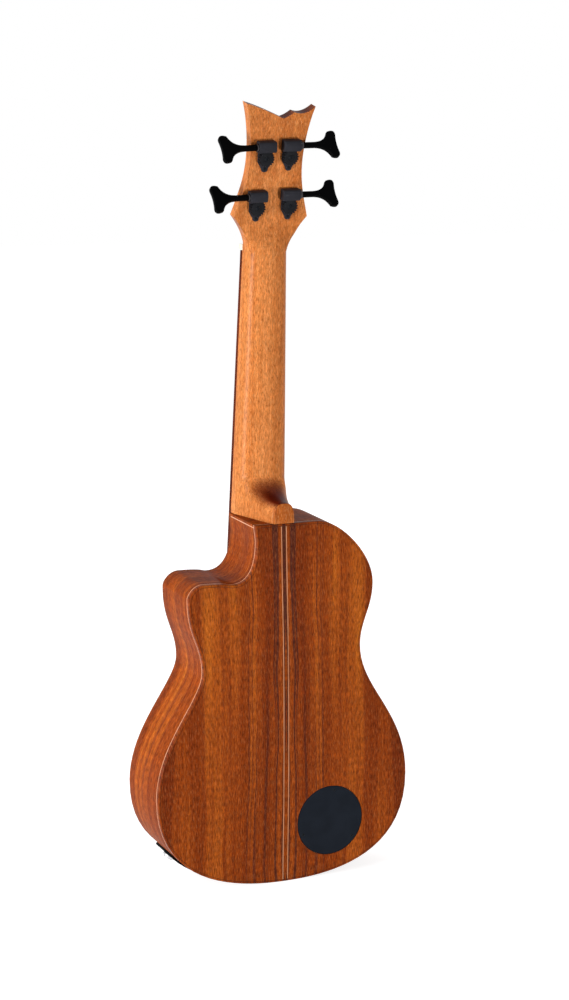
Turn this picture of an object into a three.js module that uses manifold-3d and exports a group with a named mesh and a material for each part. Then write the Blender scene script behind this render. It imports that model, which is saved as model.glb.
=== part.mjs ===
// Bass ukulele with a cutaway body, built piece by piece. Millimetres, +Z up the neck.
// The soundboard faces -Y, the back faces +Y, and the cutaway is on the treble side, +X.
// Everything is drawn with the soundboard's outer face at y = 0 and the tail at z = 0.

import * as THREE from 'three';
import { mergeVertices } from 'three/addons/utils/BufferGeometryUtils.js';
import Module from 'manifold-3d';

const wasm = await Module();
wasm.setup();
const { clamp, degToRad, lerp, smoothstep } = THREE.MathUtils;

// Clearances
const glueGap = 0.25;
const runningGap = 0.4;
const overrun = 3;

// Scale and frets
const scaleLength = 521.2;
const bodyJointFret = 12;
const fretCount = 16;
const semitones = 12;

// Body outline: its widest and narrowest places as half widths, with heights above the tail
// for the lower bout and drops below the neck end for the waist and the upper bout
const bodyLength = 360.5;
const lowerHalfWidth = 134.2;
const lowerHeight = 96.3;
const bassWaistHalfWidth = 82.9;
const bassWaistDrop = 128;
const shoulderHalfWidth = 96.8;
const shoulderDrop = 64.9;
const bassFlatHalfWidth = 37.2;
const trebleWaistHalfWidth = 85.3;
const trebleWaistDrop = 141.4;
const hornHalfWidth = 100.2;
const hornDrop = 68.5;
const hornTopReach = 84;
const hornTopDrop = 54.1;
const cutawayFloorReach = 53.4;
const cutawayFloorDrop = 56.6;
const cutawaySideReach = 28.1;
const cutawaySideDrop = 15.5;
const trebleFlatHalfWidth = 30;
const curveSteps = 7;

// Body depth and plates
const tailDepth = 85;
const jointDepth = 67.5;
const backArch = 4.2;
const archReach = 90;
const topThickness = 2.6;
const backThickness = 2.6;
const backRows = 12;
const backColumns = 5;
const ribThickness = 2;
const bindingWidth = 2;
const bindingDepth = 5;
const sideLineDepth = 0.9;
const centreStripWidth = 4.2;
const centreLineWidth = 0.9;
const liningWidth = 5.5;
const liningDepth = 12;

// Blocks and braces
const neckBlockHalfWidth = 34;
const neckBlockLength = 45;
const tailBlockHalfWidth = 30;
const tailBlockLength = 14;
const braceWidth = 8;
const braceDepth = 12;
const topBraceDrops = [161.5, 72.5];
const backBraceDrops = [228.5, 98.5];

// Soundhole, bridge and saddle
const soundholeRadius = 32;
const soundholeDrop = 117.5;
const bridgeHalfWidth = 62;
const bridgeWingHalfWidth = 40;
const bridgeBelowSaddle = 23;
const bridgeAboveSaddle = 10;
const bridgeDepth = 10;
const bridgePlateHalfWidth = 52;
const bridgePlateMargin = 9;
const bridgePlateDepth = 3;
const saddleThickness = 3;
const saddleHalfLength = 33;
const saddleFront = 17.6;
const saddleSlotFloor = 2.5;
const pickupDepth = 1.6;

// Access cover in the back and its seat
const coverReach = 48.4;
const coverHeight = 57.3;
const coverRadius = 35.4;
const coverSeatWidth = 6;
const coverSeatLip = 7;
const coverSeatDepth = 3;
const coverSides = 32;

// Output jack in the treble rim
const jackReach = 102;
const jackDepth = 33;
const jackPlateBelow = 24;
const jackPlateAbove = 12;
const jackPlateTowardsFront = 15;
const jackPlateTowardsBack = 29;
const jackPlateThickness = 2.2;
const jackBarrelRadius = 4.8;
const jackBoreRadius = 3.25;
const jackBarrelLength = 26;
const jackNutRadius = 7;
const jackNutThickness = 2;
const jackNutSides = 12;
const jackStandOut = 6;
const jackFlangeSetback = 0.8;

// Neck, heel and fretboard
const neckLean = degToRad(1.6);
const nutHalfWidth = 21.6;
const jointHalfWidth = 27.5;
const neckDepthAtNut = 21.2;
const neckDepthAtJoint = 22.9;
const neckRoundness = 2.6;
const neckSides = 16;
const heelRoundness = 3.2;
const heelLevels = 7;
const heelCapHalfWidth = 10.9;
const heelCapLength = 20;
const heelCapThickness = 3;
const heelCapProud = 0.8;
const heelSweep = 24;
const heelFairing = 30;
const fretboardThickness = 5.5;
const fretboardPastLastFret = 7;
const fretWidth = 2;
const fretProud = 1.1;
const nutThickness = 5.5;
const nutProud = 3.4;

// Headstock, with heights measured from the nut along its face
const headPitch = degToRad(10);
const headThickness = 10.8;
const headNeckHalfWidth = 21.9;
const headNeckHeight = 8;
const headCornerHalfWidth = 38.2;
const headCornerHeight = 36.5;
const headWaistHalfWidth = 27.3;
const headWaistHeight = 92;
const trebleTipReach = 36.2;
const trebleTipHeight = 147.5;
const bassTipReach = 35.5;
const bassTipDrop = 3;
const notchReach = 3;
const notchDrop = 14.5;
const peakReach = 14;
const peakRise = 6;
const dipReach = 20.5;
const dipDrop = 1.2;
const carveLength = 31;
const carveMargin = 4;

// Tuning machines: reach is measured from the post outward, rise from the head's back face
const gearTeeth = 18;
const gearToothDepth = 1.2;
const gearThickness = 2.8;
const wormOffset = 11.5;
const wormRadius = 3.3;
const wormRootRadius = 2.4;
const wormTurns = 3;
const wormRise = 4.7;
const machinePlateThickness = 1.5;
const machineTipRadius = 3.2;
const machineTipDrop = 10.7;
const machinePlateHalfWidth = 7.6;
const machinePlateTaper = 3.5;
const machinePlateTop = 8;
const housingInner = 8.8;
const housingOuter = 9.2;
const housingHalfHeight = 5.5;
const housingRise = 9.2;
const housingEndWall = 1.4;
const collarRadius = 3.9;
const collarThickness = 1.7;
const shaftRadius = 3;
const keyStart = 23.5;
const keyLobeReach = 42.6;
const keyLobeOffset = 9.7;
const keyLobeRadius = 4.9;
const keyHollow = 1;
const keyThickness = 5.2;
const keyEdge = 1.1;
const keyStubRadius = 1.7;
const keyTurn = degToRad(45);
const postRadius = 3.8;
const postNeckRadius = 2.5;
const postRise = 21;
const postFlangeRadius = 5.3;
const postFlangeThickness = 2;
const drumRadius = 4;
const drumFootThickness = 1.2;
const bushingRadius = 7.4;
const bushingThickness = 1.6;
const bushingSleeveRadius = 5.5;
const bushingSleeveLength = 8;
const turnedSides = 16;
const machineSides = 10;

// Strings from the bass side to the treble side, each with the machine that it winds on
const nutSpread = 32.4;
const saddleSpread = 48;
const stringLift = 0.5;
const stringSides = 8;
const knotMargin = 1.6;
const eRadius = 2.2;
const aRadius = 1.7;
const dRadius = 1.3;
const gRadius = 1;
const lowerPostReach = 16.8;
const upperPostReach = 12.6;
const ePostHeight = 47.8;
const aPostHeight = 96.3;
const dPostHeight = 95;
const gPostHeight = 46.4;
const bassSkew = degToRad(1.1);
const trebleSkew = degToRad(2.5);
const bass = { side: -1, skew: bassSkew };
const treble = { side: 1, skew: trebleSkew };
const strings = [
  { name: 'e', radius: eRadius, postReach: lowerPostReach, postHeight: ePostHeight, ...bass },
  { name: 'a', radius: aRadius, postReach: upperPostReach, postHeight: aPostHeight, ...bass },
  { name: 'd', radius: dRadius, postReach: upperPostReach, postHeight: dPostHeight, ...treble },
  { name: 'g', radius: gRadius, postReach: lowerPostReach, postHeight: gPostHeight, ...treble },
];

// Places worked out from the sizes above
const bassWaistHeight = bodyLength - bassWaistDrop;
const trebleWaistHeight = bodyLength - trebleWaistDrop;
const shoulderHeight = bodyLength - shoulderDrop;
const hornHeight = bodyLength - hornDrop;
const hornTopHeight = bodyLength - hornTopDrop;
const cutawayFloorHeight = bodyLength - cutawayFloorDrop;
const cutawaySideHeight = bodyLength - cutawaySideDrop;
const topBraceHeights = topBraceDrops.map((drop) => bodyLength - drop);
const backBraceHeights = backBraceDrops.map((drop) => bodyLength - drop);
const soundholeHeight = bodyLength - soundholeDrop;
const fretDistance = (fret) => scaleLength * (1 - 2 ** (-fret / semitones));
const nutHeight = bodyLength + fretDistance(bodyJointFret) * Math.cos(neckLean);
const fretHeight = (fret) => nutHeight - fretDistance(fret) * Math.cos(neckLean);
const saddleHeight = nutHeight - scaleLength * Math.cos(neckLean);
const fretboardEnd = fretHeight(fretCount) - fretboardPastLastFret;
const neckFace = (z) => (z - bodyLength) * Math.tan(neckLean);
const alongNeck = (z) => (z - bodyLength) / (nutHeight - bodyLength);
const neckHalfWidth = (z) => lerp(jointHalfWidth, nutHalfWidth, alongNeck(z));
const neckDepth = (z) => lerp(neckDepthAtJoint, neckDepthAtNut, alongNeck(z));
const bassTipHeight = trebleTipHeight - bassTipDrop;
const notchHeight = trebleTipHeight - notchDrop;
const peakHeight = notchHeight + peakRise;
const dipHeight = peakHeight - dipDrop;
const thickestString = Math.max(...strings.map((string) => string.radius));
const frontReach = saddleFront + glueGap + 2 * thickestString;
const liningOuter = ribThickness + glueGap;
const liningInner = liningOuter + liningWidth;
const underBack = backThickness + glueGap;
const blockFoot = bodyLength - liningOuter - neckBlockLength;
const gearRadius = wormOffset - wormRadius - runningGap;
const gearFloor = wormRise - gearThickness / 2;
const gearTop = gearFloor + gearThickness;
const level = (value) => () => value;

// Materials
function material(name, color, roughness, metalness = 0) {
  return new THREE.MeshStandardMaterial({ name, color, roughness, metalness });
}
const figuredWood = material('figured_wood', 0x9c5226, 0.4);
const paleWood = material('pale_wood', 0xd9a877, 0.5);
const neckWood = material('neck_wood', 0xc67a3c, 0.45);
const plainWood = material('plain_wood', 0xc9a36f, 0.7);
const darkWood = material('dark_wood', 0x3a2018, 0.5);
const bone = material('bone', 0xe8e0cc, 0.4);
const blackMetal = material('black_metal', 0x17181a, 0.35, 0.6);
const blackPlastic = material('black_plastic', 0x1c1f24, 0.5);
const brightMetal = material('bright_metal', 0xc8c8c8, 0.2, 0.9);
const stringRubber = material('string_rubber', 0x191919, 0.6);

// A geometry as one welded shell with its faces pointing out, without collapsed triangles
function closed(geometry) {
  const bare = new THREE.BufferGeometry();
  bare.setAttribute('position', geometry.getAttribute('position'));
  if (geometry.index) bare.setIndex(geometry.index);
  const welded = mergeVertices(bare);
  const places = welded.getAttribute('position');
  const vertex = (i) => new THREE.Vector3().fromBufferAttribute(places, i);
  const kept = [];
  let volume = 0;
  for (let i = 0; i < welded.index.count; i += 3) {
    const [a, b, c] = welded.index.array.slice(i, i + 3);
    if (a === b || b === c || c === a) continue;
    kept.push(a, b, c);
    volume += vertex(a).dot(vertex(b).cross(vertex(c)));
  }
  welded.setIndex(volume < 0 ? kept.reverse() : kept);
  return welded;
}

// Cutting and joining
function solid(geometry) {
  const shell = closed(geometry);
  return new wasm.Manifold(new wasm.Mesh({
    numProp: 3,
    vertProperties: new Float32Array(shell.attributes.position.array),
    triVerts: new Uint32Array(shell.index.array),
  }));
}
function surface(manifold) {
  const { vertProperties, triVerts } = manifold.getMesh();
  const geometry = new THREE.BufferGeometry();
  geometry.setAttribute('position', new THREE.BufferAttribute(vertProperties, 3));
  geometry.setIndex(new THREE.BufferAttribute(triVerts, 1));
  return geometry;
}
function cut(body, ...tools) {
  return surface(tools.reduce((rest, tool) => rest.subtract(solid(tool)), solid(body)));
}
function joined(first, ...others) {
  return surface(others.reduce((sum, other) => sum.add(solid(other)), solid(first)));
}
function common(first, second) {
  return surface(solid(first).intersect(solid(second)));
}

// Plain shapes
function boxBetween([x0, x1], [y0, y1], [z0, z1]) {
  const box = new THREE.BoxGeometry(x1 - x0, y1 - y0, z1 - z0);
  return box.translate((x0 + x1) / 2, (y0 + y1) / 2, (z0 + z1) / 2);
}

// A plate with its outline in x and z, between a front and a back face given as depths
function slab(outline, front, back, holes = []) {
  const shape = new THREE.Shape(outline);
  shape.holes = holes.map((hole) => new THREE.Path(hole));
  const geometry = new THREE.ExtrudeGeometry(shape, { depth: 1, bevelEnabled: false });
  const places = geometry.getAttribute('position');
  for (let i = 0; i < places.count; i += 1) {
    const [x, z, share] = [places.getX(i), places.getY(i), places.getZ(i)];
    places.setXYZ(i, x, lerp(front(x, z), back(x, z), share), z);
  }
  return geometry;
}

// A skin through sections with equal point counts, placed by index. Both ends are closed by
// rungs between the section's two flanks
function loft(sections, place) {
  const count = sections[0].length;
  const last = (sections.length - 1) * count;
  const index = [];
  for (let start = 0; start < last; start += count) {
    for (let k = 0; k < count; k += 1) {
      const here = start + k;
      const beside = start + ((k + 1) % count);
      index.push(here, beside, beside + count, here, beside + count, here + count);
    }
  }
  const cap = (a, b, c) => index.push(a, c, b, last + a, last + b, last + c);
  for (let [right, left] = [0, count - 1]; right + 1 < left; right += 1, left -= 1) {
    cap(right, right + 1, left);
    if (right + 2 < left) cap(right + 1, left - 1, left);
  }
  const points = sections.flatMap((section, i) => section.map((point) => place(point, i)));
  const geometry = new THREE.BufferGeometry().setFromPoints(points);
  geometry.setIndex(index);
  return geometry;
}

// A round piece about the Y axis from [radius, y] pairs, or about the X axis from [radius, x]
function turned(profile, sides = turnedSides) {
  return new THREE.LatheGeometry(profile.map(([radius, y]) => new THREE.Vector2(radius, y)), sides);
}
function turnedAcross(profile, sides = machineSides) {
  return turned(profile, sides).rotateZ(-Math.PI / 2);
}
function disc(radius, y0, y1, sides) {
  return turned([[0, y0], [radius, y0], [radius, y1], [0, y1]], sides);
}
function tube(inner, outer, y0, y1, sides) {
  return turned([[inner, y0], [outer, y0], [outer, y1], [inner, y1], [inner, y0]], sides);
}
function circle(x, z, radius, sides = coverSides) {
  return Array.from({ length: sides }, (_, i) => {
    const angle = (2 * Math.PI * i) / sides;
    return new THREE.Vector2(x + radius * Math.cos(angle), z + radius * Math.sin(angle));
  });
}

// Half of a rounded oval standing on its flat side, from its right foot to its left foot
function dome(halfWidth, reach, roundness, sides = neckSides) {
  return Array.from({ length: sides + 1 }, (_, i) => {
    const angle = (Math.PI * i) / sides;
    const across = Math.abs(Math.cos(angle)) ** (2 / roundness) * Math.sign(Math.cos(angle));
    return new THREE.Vector2(halfWidth * across, reach * Math.abs(Math.sin(angle)) ** (2 / roundness));
  });
}

// The same points spread over the three sides of a rectangle
function rectangle(halfWidth, reach, sides = neckSides) {
  const cornerShare = 1 / 4;
  return Array.from({ length: sides + 1 }, (_, i) => {
    const share = i / sides;
    const across = 1 - 2 * clamp((share - cornerShare) / (1 - 2 * cornerShare), 0, 1);
    const up = clamp(Math.min(share, 1 - share) / cornerShare, 0, 1);
    return new THREE.Vector2(halfWidth * across, reach * up);
  });
}

// A round bar along a path, mitred where the path bends
function bar(path, radius, sides = stringSides) {
  const ring = circle(0, 0, radius, sides);
  const frames = path.map((point, i) => {
    const before = path[Math.max(i - 1, 0)];
    const ahead = path[Math.min(i + 1, path.length - 1)].clone().sub(before).normalize();
    const across = new THREE.Vector3(1, 0, 0).addScaledVector(ahead, -ahead.x).normalize();
    return { point, across, up: ahead.clone().cross(across) };
  });
  return loft(frames.map(() => ring), ({ x, y }, i) => frames[i].point.clone()
    .addScaledVector(frames[i].across, x)
    .addScaledVector(frames[i].up, y));
}

// Curves of the body outline. Each leaves its first anchor and reaches its last one either
// upright or level, and the shares say how long its two handles are
function uprightCurve(path, x, z, firstShare, lastShare) {
  const from = path.currentPoint;
  const rise = z - from.y;
  path.bezierCurveTo(from.x, from.y + firstShare * rise, x, z - lastShare * rise, x, z);
}
function levelCurve(path, x, z, firstShare, lastShare) {
  const from = path.currentPoint;
  const run = x - from.x;
  path.bezierCurveTo(from.x + firstShare * run, from.y, x - lastShare * run, z, x, z);
}
function levelToUpright(path, x, z, firstShare, lastShare) {
  const from = path.currentPoint;
  const [run, rise] = [x - from.x, z - from.y];
  path.bezierCurveTo(from.x + firstShare * run, from.y, x, z - lastShare * rise, x, z);
}
function uprightToLevel(path, x, z, firstShare, lastShare) {
  const from = path.currentPoint;
  const [run, rise] = [x - from.x, z - from.y];
  path.bezierCurveTo(from.x, from.y + firstShare * rise, x - lastShare * run, z, x, z);
}

function trebleRim() {
  const path = new THREE.Path().moveTo(0, 0);
  levelToUpright(path, lowerHalfWidth, lowerHeight, 0.28, 0.96);
  uprightCurve(path, trebleWaistHalfWidth, trebleWaistHeight, 0.45, 0.21);
  uprightCurve(path, hornHalfWidth, hornHeight, 0.37, 0.5);
  uprightToLevel(path, hornTopReach, hornTopHeight, 0.38, 0.56);
  levelCurve(path, cutawayFloorReach, cutawayFloorHeight, 0.9, 0.2);
  levelToUpright(path, cutawaySideReach, cutawaySideHeight, 0.6, 0.71);
  path.lineTo(trebleFlatHalfWidth, bodyLength);
  return path.getPoints(curveSteps);
}
function bassRim() {
  const path = new THREE.Path().moveTo(0, 0);
  levelToUpright(path, -lowerHalfWidth, lowerHeight, 0.28, 0.96);
  uprightCurve(path, -bassWaistHalfWidth, bassWaistHeight, 0.47, 0.33);
  uprightCurve(path, -shoulderHalfWidth, shoulderHeight, 0.39, 0.42);
  uprightToLevel(path, -bassFlatHalfWidth, bodyLength, 0.45, 0.38);
  return path.getPoints(curveSteps);
}
const rim = [...trebleRim(), ...bassRim().reverse().slice(0, -1)];

// The rim moved inward by a distance, square to its edges
function rimInside(distance) {
  return rim.map((point, i) => {
    const before = point.clone().sub(rim.at(i - 1)).normalize();
    const after = rim[(i + 1) % rim.length].clone().sub(point).normalize();
    const inward = new THREE.Vector2(-before.y - after.y, before.x + after.x).normalize();
    const reach = distance / (before.x * inward.y - before.y * inward.x);
    return point.clone().addScaledVector(inward, reach);
  });
}
function rimRing(outer, inner, front, back) {
  return slab(rimInside(outer), front, back, [rimInside(inner)]);
}

// How far a place lies from the nearest stretch of the rim
function rimDistance(x, z) {
  const place = new THREE.Vector3(x, z, 0);
  return Math.min(...rim.map((point, i) => {
    const next = rim[(i + 1) % rim.length];
    const stretch = new THREE.Line3(
      new THREE.Vector3(point.x, point.y, 0),
      new THREE.Vector3(next.x, next.y, 0),
    );
    return stretch.closestPointToPoint(place, true, new THREE.Vector3()).distanceTo(place);
  }));
}

// The back's edge lies in a plane that falls towards the neck, and its middle is arched
const backEdge = (x, z) => lerp(tailDepth, jointDepth, z / bodyLength);
function backFace(x, z) {
  const fromRim = clamp(1 - rimDistance(x, z) / archReach, 0, 1);
  const fromMiddle = clamp((2 * z) / bodyLength - 1, -1, 1);
  return backEdge(x, z) + backArch * (1 - fromRim ** 2) * (1 - fromMiddle ** 2);
}
const underBackFace = (depth) => (x, z) => backFace(x, z) - depth;
const underBackEdge = (depth) => (x, z) => backEdge(x, z) - depth;

// The instrument, and the headstock's own frame inside it
const instrument = new THREE.Group();
instrument.position.y = (frontReach - tailDepth) / 2;
const head = new THREE.Group();
head.position.set(0, neckFace(nutHeight), nutHeight);
head.rotation.x = -(neckLean + headPitch);
head.updateMatrix();
instrument.add(head);

function piece(name, geometry, finish, parent = instrument) {
  const mesh = new THREE.Mesh(closed(geometry), finish);
  mesh.name = name;
  parent.add(mesh);
}

// The path of a string: knot, the bend behind the saddle, saddle, nut, and the side of the post
const knotRadius = (string) => string.radius + knotMargin;
const postFoot = bushingThickness + 2 * glueGap;
function stringPath(string, i) {
  const place = i / (strings.length - 1) - 1 / 2;
  const [saddleX, nutX] = [place * saddleSpread, place * nutSpread];
  const overSaddle = -(saddleFront + glueGap + string.radius);
  const overBoard = fretboardThickness + fretProud + stringLift + string.radius;
  const knotDepth = topThickness + bridgePlateDepth + glueGap + knotRadius(string);
  const nutTop = nutHeight + nutThickness;
  const postX = string.side * (string.postReach - drumRadius - glueGap - string.radius);
  const postY = -(postFoot + drumFootThickness + glueGap + string.radius);
  return [
    new THREE.Vector3(saddleX, knotDepth, saddleHeight - bridgeBelowSaddle),
    new THREE.Vector3(saddleX, overSaddle, saddleHeight - saddleThickness),
    new THREE.Vector3(saddleX, overSaddle, saddleHeight + saddleThickness),
    new THREE.Vector3(nutX, neckFace(nutHeight) - overBoard, nutHeight),
    new THREE.Vector3(nutX, neckFace(nutTop) - overBoard, nutTop),
    new THREE.Vector3(postX, postY, string.postHeight).applyMatrix4(head.matrix),
  ];
}
const bridgeBores = strings.map((string, i) => {
  const [knot, bend] = stringPath(string, i);
  const run = bend.clone().sub(knot).setLength(overrun);
  return bar([knot.sub(run), bend.add(run)], string.radius + runningGap);
});

// The box: soundboard, bindings, sides and back
function addSoundboard() {
  const soundhole = circle(0, soundholeHeight, soundholeRadius);
  const plate = slab(rimInside(bindingWidth + glueGap), level(0), level(topThickness), [soundhole]);
  piece('soundboard', cut(plate, ...bridgeBores), figuredWood);
}

function addBindings() {
  const top = rimRing(0, bindingWidth, level(0), level(bindingDepth));
  const back = rimRing(0, bindingWidth, underBackEdge(bindingDepth), underBackEdge(0));
  const lineBack = bindingDepth + glueGap;
  const line = rimRing(
    0,
    bindingWidth,
    underBackEdge(lineBack + sideLineDepth),
    underBackEdge(lineBack),
  );
  piece('top_binding', top, figuredWood);
  piece('back_binding', back, figuredWood);
  piece('back_side_line', line, paleWood);
}

// Spans of space that hold the whole body
const bodySpan = lowerHalfWidth + overrun;
const pastBack = tailDepth + backArch + overrun;
const bodyDepths = [-overrun, pastBack];
const bodyHeights = [-overrun, bodyLength + overrun];

// Output jack frame on the rim: x along the rim, y outward, z towards the back
function jackFrame() {
  const i = rim.findIndex((point, k) => point.x <= jackReach && rim[k + 1].x > jackReach);
  const along = rim[i + 1].clone().sub(rim[i]);
  const place = rim[i].clone().lerp(rim[i + 1], (jackReach - rim[i].x) / along.x);
  along.normalize();
  return new THREE.Matrix4().makeBasis(
    new THREE.Vector3(along.x, 0, along.y),
    new THREE.Vector3(along.y, 0, -along.x),
    new THREE.Vector3(0, 1, 0),
  ).setPosition(place.x, jackDepth, place.y);
}
const jackMatrix = jackFrame();

// The two bent sides meet at the tail and under the heel
function addSides() {
  const backStop = underBackEdge(bindingDepth + sideLineDepth + 2 * glueGap);
  const ribs = rimRing(0, ribThickness, level(bindingDepth + glueGap), backStop);
  const bass = common(ribs, boxBetween([-bodySpan, -glueGap / 2], bodyDepths, bodyHeights));
  const treble = common(ribs, boxBetween([glueGap / 2, bodySpan], bodyDepths, bodyHeights));
  const jackHole = disc(jackBarrelRadius + runningGap, -ribThickness - overrun, overrun);
  piece('bass_side', bass, figuredWood);
  piece('treble_side', cut(treble, jackHole.applyMatrix4(jackMatrix)), figuredWood);
}

// The back is one sheet of facets that the joints beside its centre lines divide
const stripEdge = centreStripWidth / 2;
const lineEdge = stripEdge + centreLineWidth;
const spread = (from, to, cells) => Array.from({ length: cells + 1 }, (_, i) => lerp(from, to, i / cells));
const backAcross = [
  ...spread(-bodySpan, -lineEdge, backColumns),
  -stripEdge,
  stripEdge,
  ...spread(lineEdge, bodySpan, backColumns),
];
const backUp = spread(-overrun, bodyLength + overrun, backRows);

// A faceted sheet over places in x and in z, between two faces given as depths
function sheet(across, upward, front, back) {
  const section = [
    ...across.map((x) => new THREE.Vector2(x, 0)),
    ...across.toReversed().map((x) => new THREE.Vector2(x, 1)),
  ];
  return loft(upward.map(() => section), ({ x, y: share }, i) => {
    const z = upward[i];
    return new THREE.Vector3(x, lerp(front(x, z), back(x, z), share), z);
  });
}
const behindBack = (depth) => sheet(backAcross, backUp, underBackFace(depth), level(pastBack));

function addBack() {
  const inBinding = slab(rimInside(bindingWidth + glueGap), level(0), level(pastBack));
  const coverHole = slab(
    circle(-coverReach, coverHeight, coverRadius + runningGap),
    level(0),
    level(pastBack),
  );
  const band = (from, to) => {
    const across = backAcross.filter((x) => x >= from && x <= to);
    return common(sheet(across, backUp, underBackFace(backThickness), backFace), inBinding);
  };
  piece('back_bass_half', cut(band(-bodySpan, -lineEdge), coverHole), figuredWood);
  piece('back_treble_half', band(lineEdge, bodySpan), figuredWood);
  piece('back_centre_strip', band(-stripEdge, stripEdge), figuredWood);
  piece('back_bass_line', band(-lineEdge, -stripEdge), paleWood);
  piece('back_treble_line', band(stripEdge, lineEdge), paleWood);
}

// Inside the box: linings round the edges, cut away for the neck block
function addLinings() {
  const topLining = rimRing(
    liningOuter,
    liningInner,
    level(topThickness),
    level(topThickness + liningDepth),
  );
  const liningFront = underBackFace(underBack + liningDepth);
  const backLining = rimRing(liningOuter, liningInner, liningFront, level(pastBack));
  const blockSpace = boxBetween(
    [-neckBlockHalfWidth - glueGap, cutawayFloorReach],
    bodyDepths,
    [blockFoot - glueGap, bodyLength],
  );
  piece('top_lining', cut(topLining, blockSpace), plainWood);
  piece('back_lining', cut(backLining, blockSpace, behindBack(underBack)), plainWood);
}

function addBlocks() {
  const pastLining = liningDepth + glueGap;
  const neckBlock = common(
    slab(rimInside(liningOuter), level(topThickness), level(pastBack)),
    boxBetween([-neckBlockHalfWidth, cutawayFloorReach], bodyDepths, [blockFoot, bodyLength]),
  );
  const tailBlock = common(
    slab(rimInside(liningOuter), level(topThickness + pastLining), level(pastBack)),
    boxBetween([-tailBlockHalfWidth, tailBlockHalfWidth], bodyDepths, [0, liningOuter + tailBlockLength]),
  );
  piece('neck_block', cut(neckBlock, behindBack(underBack)), plainWood);
  piece('tail_block', cut(tailBlock, behindBack(underBack + pastLining)), plainWood);
}

// Braces across both plates, fitted between the linings. Those of the back follow its arch
const insideLinings = () => slab(rimInside(liningInner + glueGap), level(0), level(pastBack));
function addBraces() {
  const brace = (height, front, back) => {
    const upward = [height - braceWidth / 2, height + braceWidth / 2];
    return common(sheet(backAcross, upward, front, back), insideLinings());
  };
  topBraceHeights.forEach((height, i) => {
    const strip = brace(height, level(topThickness), level(topThickness + braceDepth));
    piece(`top_brace_${i + 1}`, strip, plainWood);
  });
  backBraceHeights.forEach((height, i) => {
    const strip = brace(height, underBackFace(underBack + braceDepth), level(pastBack));
    piece(`back_brace_${i + 1}`, cut(strip, behindBack(underBack)), plainWood);
  });
}

// Access cover: a flush disc on a seat glued under the back
function addAccessCover() {
  const outline = circle(-coverReach, coverHeight, coverRadius);
  const seatOutline = circle(-coverReach, coverHeight, coverRadius + coverSeatLip);
  const seatHole = circle(-coverReach, coverHeight, coverRadius - coverSeatWidth);
  const seatFront = underBackFace(underBack + coverSeatDepth);
  const seat = common(slab(seatOutline, seatFront, level(pastBack), [seatHole]), insideLinings());
  const coverSpace = slab(
    circle(-coverReach, coverHeight, coverRadius + runningGap),
    underBackFace(underBack),
    level(pastBack),
  );
  piece('access_cover', slab(outline, underBackFace(backThickness), backFace), blackPlastic);
  piece('cover_seat', cut(seat, behindBack(underBack), coverSpace), plainWood);
}

// Bridge, saddle and what lies under them
function bridgeOutline() {
  const foot = saddleHeight - bridgeBelowSaddle;
  const top = saddleHeight + bridgeAboveSaddle;
  const path = new THREE.Path().moveTo(bridgeWingHalfWidth, foot);
  path.quadraticCurveTo(bridgeHalfWidth, foot, bridgeHalfWidth, saddleHeight);
  path.lineTo(bridgeHalfWidth, top);
  path.lineTo(-bridgeHalfWidth, top);
  path.lineTo(-bridgeHalfWidth, saddleHeight);
  path.quadraticCurveTo(-bridgeHalfWidth, foot, -bridgeWingHalfWidth, foot);
  return path.getPoints(curveSteps);
}

// A bar along the saddle's line between two depths, larger than the saddle by a margin
function saddleBar(front, back, margin = 0) {
  const halfLength = saddleHalfLength + margin;
  const halfThickness = saddleThickness / 2 + margin;
  return boxBetween(
    [-halfLength, halfLength],
    [front, back],
    [saddleHeight - halfThickness, saddleHeight + halfThickness],
  );
}

function addBridge() {
  const block = slab(bridgeOutline(), level(-bridgeDepth), level(0));
  const pickupFront = -saddleSlotFloor - pickupDepth;
  const slot = saddleBar(-bridgeDepth - overrun, -saddleSlotFloor, glueGap);
  const plate = boxBetween(
    [-bridgePlateHalfWidth, bridgePlateHalfWidth],
    [topThickness, topThickness + bridgePlateDepth],
    [
      saddleHeight - bridgeBelowSaddle - bridgePlateMargin,
      saddleHeight + bridgeAboveSaddle + bridgePlateMargin,
    ],
  );
  piece('bridge', cut(block, slot, ...bridgeBores), darkWood);
  piece('saddle_pickup', saddleBar(pickupFront, -saddleSlotFloor), brightMetal);
  piece('saddle', saddleBar(-saddleFront, pickupFront), bone);
  piece('bridge_plate', cut(plate, ...bridgeBores), plainWood);
}

// Output jack through the side, with a curved plate and a nut outside
function addJack() {
  const plateFace = glueGap + jackPlateThickness;
  const nutFloor = plateFace + glueGap;
  const flange = -ribThickness - jackFlangeSetback;
  const band = rimRing(
    -plateFace,
    -glueGap,
    level(jackDepth - jackPlateTowardsFront),
    level(jackDepth + jackPlateTowardsBack),
  );
  const reach = [-jackPlateBelow, jackPlateAbove];
  const sector = boxBetween(reach, reach, [-2 * jackPlateTowardsFront, 2 * jackPlateTowardsBack]);
  const hole = disc(jackBarrelRadius + runningGap, -overrun, jackStandOut);
  const plate = common(band, sector.applyMatrix4(jackMatrix));
  const barrel = turned([
    [jackBoreRadius, jackStandOut],
    [jackBarrelRadius, jackStandOut],
    [jackBarrelRadius, flange],
    [jackNutRadius, flange],
    [jackNutRadius, flange - jackNutThickness],
    [jackBarrelRadius, flange - jackNutThickness],
    [jackBarrelRadius, jackStandOut - jackBarrelLength],
    [jackBoreRadius, jackStandOut - jackBarrelLength],
    [jackBoreRadius, jackStandOut],
  ]);
  const nut = tube(
    jackBarrelRadius + glueGap,
    jackNutRadius,
    nutFloor,
    nutFloor + jackNutThickness,
    jackNutSides,
  );
  piece('jack_plate', cut(plate, hole.applyMatrix4(jackMatrix)), blackMetal);
  piece('output_jack', barrel.applyMatrix4(jackMatrix), brightMetal);
  piece('jack_nut', nut.applyMatrix4(jackMatrix), brightMetal);
}

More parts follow.
